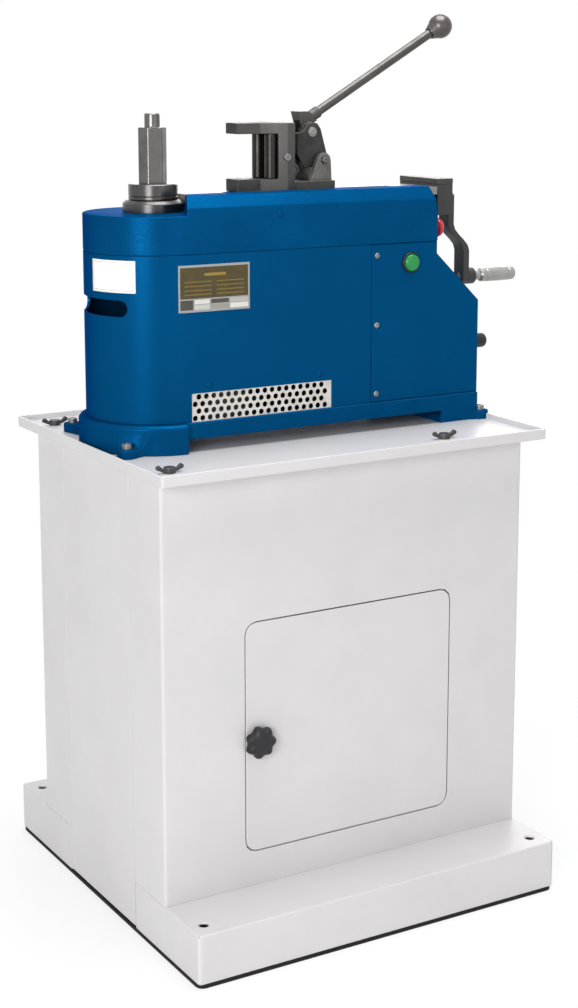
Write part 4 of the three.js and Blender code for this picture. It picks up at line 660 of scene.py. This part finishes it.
def hexagonal(angle, reach, height):
    """Between the collar and the hexagon's top, the lesser of the row's radius and a hexagon
    38.4 mm across flats, half of that / cos((a - 44.4) mod 60 - 30)."""
    turn = (angle - hex_turn) % (math.pi / 3) - math.pi / 6
    on_hexagon = (height > hex_foot + 0.0004) & (height < hex_top + 1e-6)
    return np.where(on_hexagon, np.minimum(reach, hex_flat / 2 / np.cos(turn)), reach)


shaft_rows = softened([
    (0, low[2]), (shaft_radius - 0.0015, low[2]), (shaft_radius, low[2] + 0.0015),
    (shaft_radius, hex_foot), (shaft_radius + 0.0002, hex_foot + 0.0002),
    (corner_radius, hex_foot + 0.0006), (corner_radius, hex_top - 0.0012),
    (hex_flat / 2, hex_top), (stud_radius + 0.0006, hex_top), (stud_radius, hex_top + 0.0012),
    (stud_radius, high[2] - 0.0018), (stud_radius - 0.00175, high[2]), (centre_radius, high[2]),
    (centre_radius - 0.0018, high[2] - 0.0030), (0, high[2] - 0.0032)],
    [0, 0.0003, 0.0003, 0, 0, 0, 0.0003, 0.0004, 0.0003, 0.0006, 0.0005, 0.0005, 0.0002, 0, 0],
    steps=4)
# Bright turned bar: a mid grey metal with fine rings
steel = turned_steel("turned_steel_shaft", shaft_middle, (0, 0, 1), "71706D", "605F5D", 1.0, 0.28)
shaft = spun("main_shaft_turned", shaft_rows, shaft_middle, (0, 0, 1), 180, reshape=hexagonal,
             sharp=24)
fitted(shaft, steel, "bending_shaft", "bright_steel", "main_shaft")

low, high, ring_edge = collar_low, collar_high, (collar_high[0] - collar_low[0]) / 2
ring_bore, groove_depth = 0.0243, 0.0009
groove_foot, groove_top = low[2] + 0.0044, low[2] + 0.0062
collar_rows = softened([
    (ring_bore, low[2]), (ring_edge - 0.0008, low[2]), (ring_edge, low[2] + 0.0008),
    (ring_edge, groove_foot), (ring_edge - groove_depth, groove_foot + 0.0004),
    (ring_edge - groove_depth, groove_top - 0.0004), (ring_edge, groove_top),
    (ring_edge, high[2] - 0.0018), (ring_edge - 0.0018, high[2]), (ring_bore, high[2])],
    0.0004, steps=3, closed=True)
# The collar and the bearings are darker with oil
collar_steel = turned_steel("turned_steel_collar", shaft_middle, (0, 0, 1), "595857", "4B4A4A", 0.95,
                            0.27)
collar = spun("shaft_collar_turned", collar_rows, shaft_middle, (0, 0, 1), 120, bored=True)
fitted(collar, collar_steel, "bending_shaft", "bright_steel", "shaft_collar")

low, high, middle = boxed("upper_bearing")
flange_edge, flange_foot, spigot_radius, crown_radius = middle[0] - low[0], high[2] - 0.0185, 0.036, 0.0405
bearing_rows = softened([
    (ring_bore, low[2]), (spigot_radius, low[2]), (spigot_radius, flange_foot),
    (flange_edge, flange_foot), (flange_edge, high[2] - 0.005), (crown_radius, high[2]),
    (ring_bore, high[2])],
    [0.0005, 0.0005, 0, 0.0005, 0.0015, 0.0015, 0.0004], steps=4, closed=True)
bearing = spun("upper_bearing_turned", bearing_rows, shaft_middle, (0, 0, 1), 120, bored=True)
fitted(bearing, collar_steel, "frame", "bright_steel", "upper_bearing")

low, high, middle = boxed("lower_bearing")
foot_edge, outer_lip, inner_lip, lip_depth = middle[0] - low[0], 0.034, 0.027, 0.002
foot_rows = softened([
    (ring_bore, low[2]), (foot_edge, low[2]), (foot_edge, high[2]), (outer_lip, high[2]),
    (outer_lip - 0.001, high[2] - lip_depth), (inner_lip + 0.001, high[2] - lip_depth),
    (inner_lip, high[2]), (ring_bore, high[2])], 0.0008, steps=3, closed=True)
foot_bearing = spun("lower_bearing_turned", foot_rows, shaft_middle, (0, 0, 1), 96, bored=True)
fitted(foot_bearing, collar_steel, "frame", "zinc_steel", "lower_bearing")

# Gear drive inside the casing
# A hobbed steel gear on the shaft, its pinion on the gear motor's shaft, and the motor in its
# cast case. The motor's bore keeps its hollow corners, so that the pinion's shaft turns clear.
# Hobbed steel: dark with oil, paler on the teeth's edges
hobbed = finish_of("oiled_gear_steel", "6B6965", "55534F", 0.9, 0.34, 0.08, 0.0014, 0.00004,
                   patch=0.03, rubbed="8F8D88", edge=0.001)
eased("main_gear", 0.0005, hobbed, "bending_shaft", "cast_grey")
eased("drive_pinion", 0.0005, hobbed, "pinion", "zinc_steel")
# Bare casting, painted thin grey: rough and dull
motor_case = finish_of("grey_cast_motor_case", "5A5B5C", "4B4C4D", 0.3, 0.55, 0.08, 0.003, 0.0002,
                       rubbed="77787A")
eased("drive_motor", 0.002, motor_case, "frame", "cast_grey", segments=3, inner=False)

# Start button
# A domed green push button, moulded in ABS, in a black bezel on the front cover.
low, high, middle = boxed("button_bezel")
button_place = (middle[0], front_y, middle[2])
bezel_edge, bezel_rise, barrel_depth = (high[0] - low[0]) / 2, front_y - low[1], high[1] - front_y
mouth_radius, barrel_radius, stem_bore, barrel_floor = 0.0138, 0.0153, 0.0083, 0.003
bezel_rows = softened([
    (mouth_radius, bezel_rise - 0.0006), (mouth_radius + 0.0012, bezel_rise),
    (bezel_edge - 0.0012, bezel_rise), (bezel_edge, bezel_rise - 0.0016), (bezel_edge, 0),
    (barrel_radius, 0), (barrel_radius, -barrel_depth), (stem_bore, -barrel_depth),
    (stem_bore, barrel_floor - barrel_depth), (mouth_radius, barrel_floor - barrel_depth)],
    0.0005, steps=4, closed=True)
bezel = spun("button_bezel_turned", bezel_rows, button_place, (0, -1, 0), 72, bored=True)
fitted(bezel, nylon, "frame", "black_plastic", "button_bezel")

low, high, middle = boxed("green_button")
button_edge, button_rise, stem_depth = (high[0] - low[0]) / 2, front_y - low[1], high[1] - front_y
button_stem, cap_back, button_flat = 0.008, 0.0109, 0.006
button_rows = softened([
    (0, -stem_depth), (button_stem, -stem_depth), (button_stem, -cap_back), (button_edge, -cap_back),
    (button_edge, button_rise - 0.0030), (button_edge - 0.0028, button_rise - 0.0006),
    (button_flat, button_rise), (0, button_rise)],
    [0, 0.0005, 0, 0.0005, 0.0014, 0.003, 0.004, 0])
# ABS, moulded and polished: saturated green, glossy
green = finish_of("gloss_green_abs", "088840", "067E3A", 0.0, 0.3, 0.03, 0.003, 0.00001)
button = spun("green_button_moulded", button_rows, button_place, (0, -1, 0), 72)
fitted(button, green, "start_button", "green_plastic", "green_button")

# Emergency stop
# A red mushroom head on a pale grey collar, both moulded, screwed into the top housing's end.
low, high, middle = boxed("stop_collar")
spigot_length, stop_spigot, stop_bore = 0.005, 0.012, 0.0101
stop_place = (low[0] + spigot_length, middle[1], middle[2])
collar_reach, collar_edge = high[0] - stop_place[0], (high[1] - low[1]) / 2
stop_rows = softened([
    (stop_bore, -spigot_length), (stop_spigot, -spigot_length), (stop_spigot, 0), (collar_edge, 0),
    (collar_edge, collar_reach - 0.009), (collar_edge - 0.0012, collar_reach - 0.0078),
    (collar_edge - 0.0012, collar_reach - 0.0015), (collar_edge - 0.0024, collar_reach),
    (stop_bore, collar_reach)], 0.0005, steps=4, closed=True)
# Polyamide, moulded: pale grey and satin
pale_plastic = finish_of("moulded_pale_plastic", "C6C6C3", "BCBCB9", 0.0, 0.4, 0.05, 0.001, 0.00003)
stop_ring = spun("stop_collar_moulded", stop_rows, stop_place, (1, 0, 0), 64, bored=True)
fitted(stop_ring, pale_plastic, "frame", "zinc_steel", "stop_collar")

low, high, middle = boxed("stop_button")
head_reach, head_edge = high[0] - stop_place[0], (high[1] - low[1]) / 2
head_back, stop_stem, stem_foot = head_reach - 0.014, 0.010, low[0] - stop_place[0]
mushroom_rows = softened([
    (0, stem_foot), (stop_stem, stem_foot), (stop_stem, head_back),
    (head_edge - 0.003, head_back + 0.0005), (head_edge, head_back + 0.0025),
    (head_edge, head_back + 0.0065), (head_edge - 0.003, head_reach - 0.0022),
    (head_edge / 2, head_reach - 0.0002), (0, head_reach)],
    [0, 0.0004, 0.0004, 0.001, 0.0015, 0.002, 0.003, 0.004, 0])
# ABS, moulded: signal red, glossy
red = finish_of("gloss_red_abs", "CF2A30", "C2242A", 0.0, 0.28, 0.03, 0.003, 0.00001)
mushroom = spun("stop_button_moulded", mushroom_rows, stop_place, (1, 0, 0), 72)
fitted(mushroom, red, "emergency_stop", "red_plastic", "stop_button")

# Cable gland
# A moulded nylon gland for the mains lead, with a hexagonal foot, grip ribs round its cap and a
# rounded mouth.
low, high, middle = boxed("cable_gland")
gland_place = (low[0] + spigot_length, middle[1], middle[2])
gland_reach = high[0] - gland_place[0]
gland_bore, gland_spigot, nut_radius, nut_flat, nut_length = 0.005, 0.010, 0.014, 0.0122, 0.008
cap_radius, cap_end, mouth_edge = 0.012, 0.024, 0.0066


def gland_grip(angle, reach, height):
    """On the foot the lesser of r and a hexagon 24.4 mm across flats, half of that /
    cos((a + 30) mod 60 - 30), and 18 ribs 0.5 mm deep round the cap."""
    turn = (angle + math.pi / 6) % (math.pi / 3) - math.pi / 6
    foot = (height > -1e-6) & (height < nut_length + 0.0001) & (reach > nut_flat + 0.0003)
    ribs = ((height > nut_length + 0.0025) & (height < cap_end - 0.0005)
            & (reach > cap_radius - 0.0015))
    hexagon = np.minimum(reach, nut_flat / np.cos(turn))
    return np.where(foot, hexagon, reach - ribs * 0.00025 * (1 + np.cos(18 * angle)))


gland_rows = softened([
    (gland_bore, -spigot_length), (gland_spigot, -spigot_length), (gland_spigot, 0),
    (nut_radius, 0), (nut_radius, nut_length), (cap_radius - 0.0002, nut_length + 0.0003),
    (cap_radius, nut_length + 0.002), (cap_radius, cap_end), (cap_radius - 0.0008, cap_end + 0.004),
    (mouth_edge + 0.0022, gland_reach - 0.0006), (mouth_edge, gland_reach),
    (gland_bore, gland_reach - 0.002)], 0.0006, steps=4, closed=True)
gland = spun("cable_gland_moulded", gland_rows, gland_place, (1, 0, 0), 108, bored=True,
             reshape=gland_grip)
fitted(gland, nylon, "frame", "black_plastic", "cable_gland")

# End block and feed screw
# The block that carries the screw is cast iron, with a ground steel plate on top. The screw has
# a trapezoid thread of 5 mm pitch and runs in a nut under the carriage.
# Black paint on a casting: dull, sandy, rubbed to grey on its edges
black = finish_of("black_paint_on_cast_iron", "2A2A2A", "363534", 0.1, 0.5, 0.08, 0.003, 0.0002,
                  patch=0.03, rubbed="55534F", edge=0.002)
eased("end_block", 0.0015, black, "frame", "black_paint", segments=3)
# Oiled plate: dark grey metal with pale rubbed edges
plate_steel = finish_of("oiled_plate_steel", "4B4A49", "3E3D3C", 0.7, 0.4, 0.08, 0.0012, 0.00002,
                        patch=0.03, rubbed="8F8E8B", edge=0.001)
eased("end_plate", 0.0008, plate_steel, "frame", "bright_steel")

low, high, middle = boxed("feed_screw")
screw_axis = (0, middle[1], middle[2])
block_low, block_high = np.array(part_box("end_block"))
thread_radius, thread_pitch, thread_depth, run_out = 0.010, 0.005, 0.0009, 0.003
journal_radius, thrust_radius, centre_edge = 0.007, 0.014, 0.0025
thread_start, thread_end = low[0] + 0.020, block_low[0] - 0.012
journal_end, thrust, thrust_end = low[0] + 0.016, block_high[0] + 0.0003, high[0] - 0.0123
journal_profile = softened([
    (0, low[0]), (journal_radius - 0.0008, low[0]), (journal_radius, low[0] + 0.0008),
    (journal_radius, journal_end), (thread_radius - 0.0008, journal_end),
    (thread_radius, journal_end + 0.0008), (thread_radius, thread_start)], 0.0002, steps=3)
thread_rows = np.arange(thread_start, thread_end, thread_pitch / 10)[:, None]
thread_profile = np.hstack([np.full_like(thread_rows, thread_radius), thread_rows])
tail_profile = softened([
    (thread_radius, thread_end), (thread_radius, thrust), (thrust_radius, thrust),
    (thrust_radius, thrust_end), (thread_radius, thrust_end), (thread_radius, high[0] - 0.001),
    (thread_radius - 0.001, high[0]), (centre_edge, high[0]), (0, high[0] - 0.0022)],
    [0, 0, 0.0006, 0.0006, 0, 0.0004, 0.0003, 0.0003, 0], steps=3)


def threaded(angle, reach, height):
    """r less 0.9 mm x the thread's share, where the share at a turn t = x / 5 mm - a / 360 is
    |2 (t mod 1) - 1| steepened by 1.8 about its middle, and fades out at the thread's two ends."""
    turn = (height / thread_pitch - angle / (2 * math.pi)) % 1
    share = np.clip((abs(2 * turn - 1) - 0.5) * 1.8 + 0.5, 0, 1)
    ends = (np.clip((height - thread_start) / run_out, 0, 1)
            * np.clip((thread_end - height) / run_out, 0, 1))
    return reach - thread_depth * share * ends


# Turned and oiled: mid grey, softer than the bare shaft
oiled = turned_steel("oiled_turned_steel", screw_axis, (1, 0, 0), "6C6B69", "5C5B59", 0.9, 0.32)
feed = spun("feed_screw_cut", np.vstack([journal_profile, thread_profile, tail_profile[1:]]),
            screw_axis, (1, 0, 0), 36, reshape=threaded)
fitted(feed, oiled, "crank", "bright_steel", "feed_screw")
# Cast bearing bronze: a brown gold, brighter on its machined edges
bronze = finish_of("cast_bearing_bronze", "A8803F", "97713A", 1.0, 0.35, 0.06, 0.0012, 0.00003,
                   rubbed="C9A565", edge=0.001)
eased("screw_nut", 0.0006, bronze, "carriage", "bronze")

# Hand crank
# A flat cranked arm, forged and painted black, with a boss for the spindle. The turned grip runs
# on the spindle between two heads.
eased("crank_arm", 0.0009, black, "crank", "black_paint", sharp=40)
grip_low, grip_high, grip_middle = boxed("crank_grip")
spindle_start, spindle_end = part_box("grip_spindle")[0][0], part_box("grip_spindle")[1][0]
grip_axis = (0, grip_middle[1], grip_middle[2])
spindle_radius, spindle_head, head_start, play = 0.006, 0.008, spindle_end - 0.004, 0.0003
boss_end, grip_start, grip_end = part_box("crank_arm")[1][0], grip_low[0], grip_high[0]
spindle_rows = softened([
    (0, spindle_start), (spindle_radius - 0.0005, spindle_start),
    (spindle_radius, spindle_start + 0.0005), (spindle_radius, boss_end + play),
    (spindle_head, boss_end + play), (spindle_head, grip_start - play),
    (spindle_radius, grip_start - play), (spindle_radius, head_start), (spindle_head, head_start),
    (spindle_head, spindle_end - 0.0006), (spindle_head - 0.0008, spindle_end), (0, spindle_end)],
    [0, 0.0002, 0.0002, 0, 0.0005, 0.0005, 0, 0, 0.0003, 0.0003, 0.0003, 0], steps=4)
# Turned and polished steel: pale, with soft rings
grip_steel = turned_steel("turned_steel_grip", grip_axis, (1, 0, 0), "A3A2A0", "939290", 0.6, 0.36)
spindle = spun("grip_spindle_turned", spindle_rows, grip_axis, (1, 0, 0), 48)
fitted(spindle, grip_steel, "crank", "zinc_steel", "grip_spindle")
grip_edge, span = (grip_high[2] - grip_low[2]) / 2, grip_end - grip_start
# How far each row lies in from the grip's edge, and how far from its nearer end
end_rows = [(0.0035, 0), (0.0006, 0.003), (0.0004, span * 0.16), (0.0012, span * 0.18),
            (0.0002, span * 0.20)]
grip_bore, head_bore, head_floor = 0.0061, 0.0081, head_start - 0.0006
grip_rows = [(grip_bore, grip_start)]
grip_rows += [(grip_edge - inset, grip_start + along) for inset, along in end_rows]
grip_rows += [(grip_edge, grip_start + span * 0.6)]
grip_rows += [(grip_edge - inset, grip_end - along) for inset, along in reversed(end_rows)]
grip_rows += [(head_bore, grip_end), (head_bore, head_floor), (grip_bore, head_floor)]
grip = spun("crank_grip_turned", softened(grip_rows, 0.0006, steps=4, closed=True), grip_axis,
            (1, 0, 0), 72, bored=True)
fitted(grip, grip_steel, "grip", "zinc_steel", "crank_grip")

# Carriage with its pin
# The carriage is a machined iron plate with two ears. A turned pin holds the lever in the ears.


def machined_iron(name, dark, mid, pale, level, reach, tip=None):
    """Cast iron, partly machined. Its colour runs from `dark` low down to `pale` higher up over `reach`
    metres about the height `level`, broken by a sandy mottle with grains of 2 mm. In cloudy patches it
    turns towards `mid`, partly a random tone and partly painted sheen, and its roughness changes as if
    oily. Its edges are paler, partly from wear and partly as painted highlight. Up to `tip` along X it
    is near black, as painted shade on the end faces."""
    material, tree, place = empty_material(name)
    spot = add_node(tree, "SeparateXYZ", (), {0: place})
    cloud = add_node(tree, "TexNoise", (), {
        "Vector": place, "Scale": 38.0, "Detail": 5.0, "Roughness": 0.65})
    sand = add_node(tree, "TexNoise", (), {"Vector": place, "Scale": 520.0, "Detail": 3.0})
    # Darker low down and paler higher up, over `reach` metres about `level`
    lift = add_node(tree, "MapRange", (), {
        "Value": spot.outputs["Z"], "From Min": level - reach / 2, "From Max": level + reach / 2})
    # Patches towards the mid colour: partly a random tone, partly painted sheen
    patch = add_node(tree, "MapRange", (), {
        "Value": cloud, "From Min": 0.38, "From Max": 0.66, "To Max": 0.7})
    colour = mixed(tree, patch, mixed(tree, lift, dark, pale), mid)
    # Painted shade: near black up to `tip` along X, on the fork tips' end faces
    if tip is not None:
        tip_shade = add_node(tree, "MapRange", (), {
            "Value": spot.outputs["X"], "From Min": tip, "From Max": tip - 0.0006})
        colour = mixed(tree, tip_shade, colour, "1C1B1B")
    # Paler edges: partly wear, partly painted highlight
    colour = mixed(tree, edge_wear_and_highlight(tree, 0.0014, 0.6), colour, "868482")
    rough = add_node(tree, "MapRange", (), {
        "Value": cloud, "From Min": 0.35, "From Max": 0.65, "To Min": 0.36, "To Max": 0.58})
    surfaced(tree, colour, rough, 0.5, sand, 0.00022)
    return material


slide_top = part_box("slideway")[1][2]
carriage_iron = machined_iron(
    "machined_carriage_iron", "3F3E3D", "4A4947", "6A6865", slide_top + 0.017, 0.004)
eased("carriage", 0.0012, carriage_iron, "carriage", "cast_grey", segments=3)

pin_bevel, centre_mark, mark_depth = 0.0007, 0.0016, 0.0014


def cross_pin(node, radius, body):
    """A turned pin along Y, chamfered, with a centre hole in both ends."""
    low, high, middle = boxed(node)
    rows = softened([
        (0, low[1] + mark_depth), (centre_mark, low[1]), (radius - pin_bevel, low[1]),
        (radius, low[1] + pin_bevel), (radius, high[1] - pin_bevel), (radius - pin_bevel, high[1]),
        (centre_mark, high[1]), (0, high[1] - mark_depth)], 0.0002, steps=3)
    pin = spun(node + "_turned", rows, (middle[0], 0, middle[2]), (0, 1, 0), 40)
    fitted(pin, oiled, body, "zinc_steel", node)


cross_pin("lever_pin", 0.005, "carriage")

# Die holder with its rollers
# The fork is milled from a block of iron: tips painted dark as shade, a socket-head screw in each
# cheek of its web, and two rollers on pins in its throat.
holder_low, holder_high = np.array(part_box("die_holder"))
holder_iron = machined_iron(
    "milled_holder_iron", "353434", "504E4C", "484645", slide_top + 0.045, 0.08,
    tip=holder_low[0] + 0.0012)
eased("die_holder", 0.0011, holder_iron, "holder", "cast_grey", segments=3)
cheek_x, cheek_z = holder_high[0] - 0.0365, slide_top + 0.054
cheek_radius, cheek_rise, recess_radius, cheek_sink = 0.0058, 0.0036, 0.0029, 0.001
cheek_rows = softened([
    (0, 0.0012), (recess_radius - 0.0001, 0.0014), (recess_radius, cheek_rise),
    (cheek_radius - 0.0006, cheek_rise), (cheek_radius, cheek_rise - 0.0006),
    (cheek_radius, -cheek_sink), (0, -cheek_sink)], 0.0003, steps=3)
for word, side, face in [("near", -1, holder_low[1]), ("far", 1, holder_high[1])]:
    screw = spun(f"cheek_screw_{word}", cheek_rows, (cheek_x, face, cheek_z), (0, side, 0), 48)
    fitted(screw, zinc, "holder", "zinc_steel")

# Ground steel rollers: nearly black, and smooth round their barrels
roller_steel = finish_of("ground_roller_steel", "343332", "2A2928", 0.8, 0.3, 0.04, 0.0012, 0.000004,
                         drawn=(1, 1, 0.1), patch=0.03)
roller_bore, roller_bevel, pin_radius = 0.0041, 0.0009, 0.004
for i, body in [(1, "roller_near"), (2, "roller_far")]:
    low, high, middle = boxed(f"guide_roller_{i}")
    edge, place = middle[0] - low[0], (middle[0], middle[1], 0)
    rows = softened([
        (roller_bore, low[2]), (edge - roller_bevel, low[2]), (edge, low[2] + roller_bevel),
        (edge, high[2] - roller_bevel), (edge - roller_bevel, high[2]), (roller_bore, high[2])],
        0.0003, steps=3, closed=True)
    fitted(spun(f"guide_roller_{i}_turned", rows, place, (0, 0, 1), 64, bored=True), roller_steel,
           body, "cast_grey", f"guide_roller_{i}")
for i in (1, 2):
    low, high, middle = boxed(f"roller_pin_{i}")
    rows = softened([
        (0, low[2]), (pin_radius - 0.0006, low[2]), (pin_radius, low[2] + 0.0006),
        (pin_radius, high[2] - 0.0006), (pin_radius - 0.0006, high[2]), (0.0012, high[2]),
        (0, high[2] - 0.001)], 0.0002, steps=3)
    fitted(spun(f"roller_pin_{i}_turned", rows, (middle[0], middle[1], 0), (0, 0, 1), 40), zinc,
           "holder", "zinc_steel", f"roller_pin_{i}")
cross_pin("link_pin", 0.005, "holder")

# Toggle link and lever
# The link and the lever's broad cheeks are dark milled iron. A pale pin head with a washer shows
# at the lever's upper eye, and the rod is pressed into the tilted socket.
toggle_iron = machined_iron(
    "dark_milled_toggle_iron", "1D1D1D", "454342", "4B4A49", slide_top + 0.105, 0.03)
eased("toggle_link", 0.0008, toggle_iron, "link", "cast_grey")
eased("toggle_lever", 0.0011, toggle_iron, "lever", "cast_grey", segments=3)
lever_low, lever_high = np.array(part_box("toggle_lever"))
link_high, eye_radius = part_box("toggle_link")[1], 0.013
washer_radius, washer_rise, eye_head, eye_rise = 0.0078, 0.0006, 0.0050, 0.0016
eye_rows = softened([
    (0, 0.0009), (0.0018, eye_rise), (eye_head - 0.0006, eye_rise), (eye_head, eye_rise - 0.0006),
    (eye_head, washer_rise), (washer_radius - 0.0004, washer_rise),
    (washer_radius, washer_rise - 0.0004), (washer_radius, -washer_rise), (0, -washer_rise)],
    0.0002, steps=3)
for word, side, face in [("near", -1, lever_low[1]), ("far", 1, lever_high[1])]:
    pin_head = spun(f"upper_pin_head_{word}", eye_rows,
                    (link_high[0] - eye_radius, face, link_high[2] - eye_radius), (0, side, 0), 48)
    fitted(pin_head, zinc, "lever", "zinc_steel")

# Lever rod and ball
# A drawn steel rod with a turned ball on its end. The ball has a flat face and a conical neck.
low, high, rod_centre = boxed("lever_rod")
rod_slope = math.radians(30)
rod_way = np.array([math.cos(rod_slope), 0, math.sin(rod_slope)])
rod_radius, rod_bevel = (high[1] - low[1]) / 2, 0.0006
rod_half = (high[0] - low[0] - 2 * rod_radius * rod_way[2]) / rod_way[0] / 2
rod_rows = softened([
    (0, -rod_half), (rod_radius - rod_bevel, -rod_half), (rod_radius, rod_bevel - rod_half),
    (rod_radius, rod_half - rod_bevel), (rod_radius - rod_bevel, rod_half), (0, rod_half)],
    0.0002, steps=3)
# Drawn bar, handled and oiled: a brownish grey with no rings, only slow bands along it
rod_steel = turned_steel("drawn_steel_rod", rod_centre, rod_way, "575655", "4A4948", 0.9, 0.34,
                         feed=0.03)
rod = spun("lever_rod_turned", rod_rows, rod_centre, rod_way, 48)
fitted(rod, rod_steel, "lever", "bright_steel", "lever_rod")

ball_radius, ball_bore, flat_height, neck_length = 0.020, 0.0078, 0.017, 0.0245
rod_sink, ball_floor = 0.010, -0.0096
ball_centre = rod_centre + rod_way * (rod_half + rod_sink)
sweep = np.linspace(math.asin(-0.66), math.asin(flat_height / ball_radius), 40)
ball_rows = np.vstack([
    [(0, ball_floor), (ball_bore, ball_floor), (ball_bore, -neck_length),
     (ball_bore + 0.0018, -neck_length), (ball_bore + 0.0024, 0.0009 - neck_length)],
    ball_radius * np.stack([np.cos(sweep), np.sin(sweep)], -1),
    [(0.0098, flat_height + 0.0003), (0, flat_height + 0.0003)]])
# Black-oxide steel, turned and oiled: a warm dark grey with a broad soft highlight
ball_steel = turned_steel("black_oxide_ball", ball_centre, rod_way, "625E5B", "54514E", 0.85, 0.33)
ball = spun("lever_knob_turned", ball_rows, ball_centre, rod_way, 72)
fitted(ball, ball_steel, "lever", "black_plastic", "lever_knob")
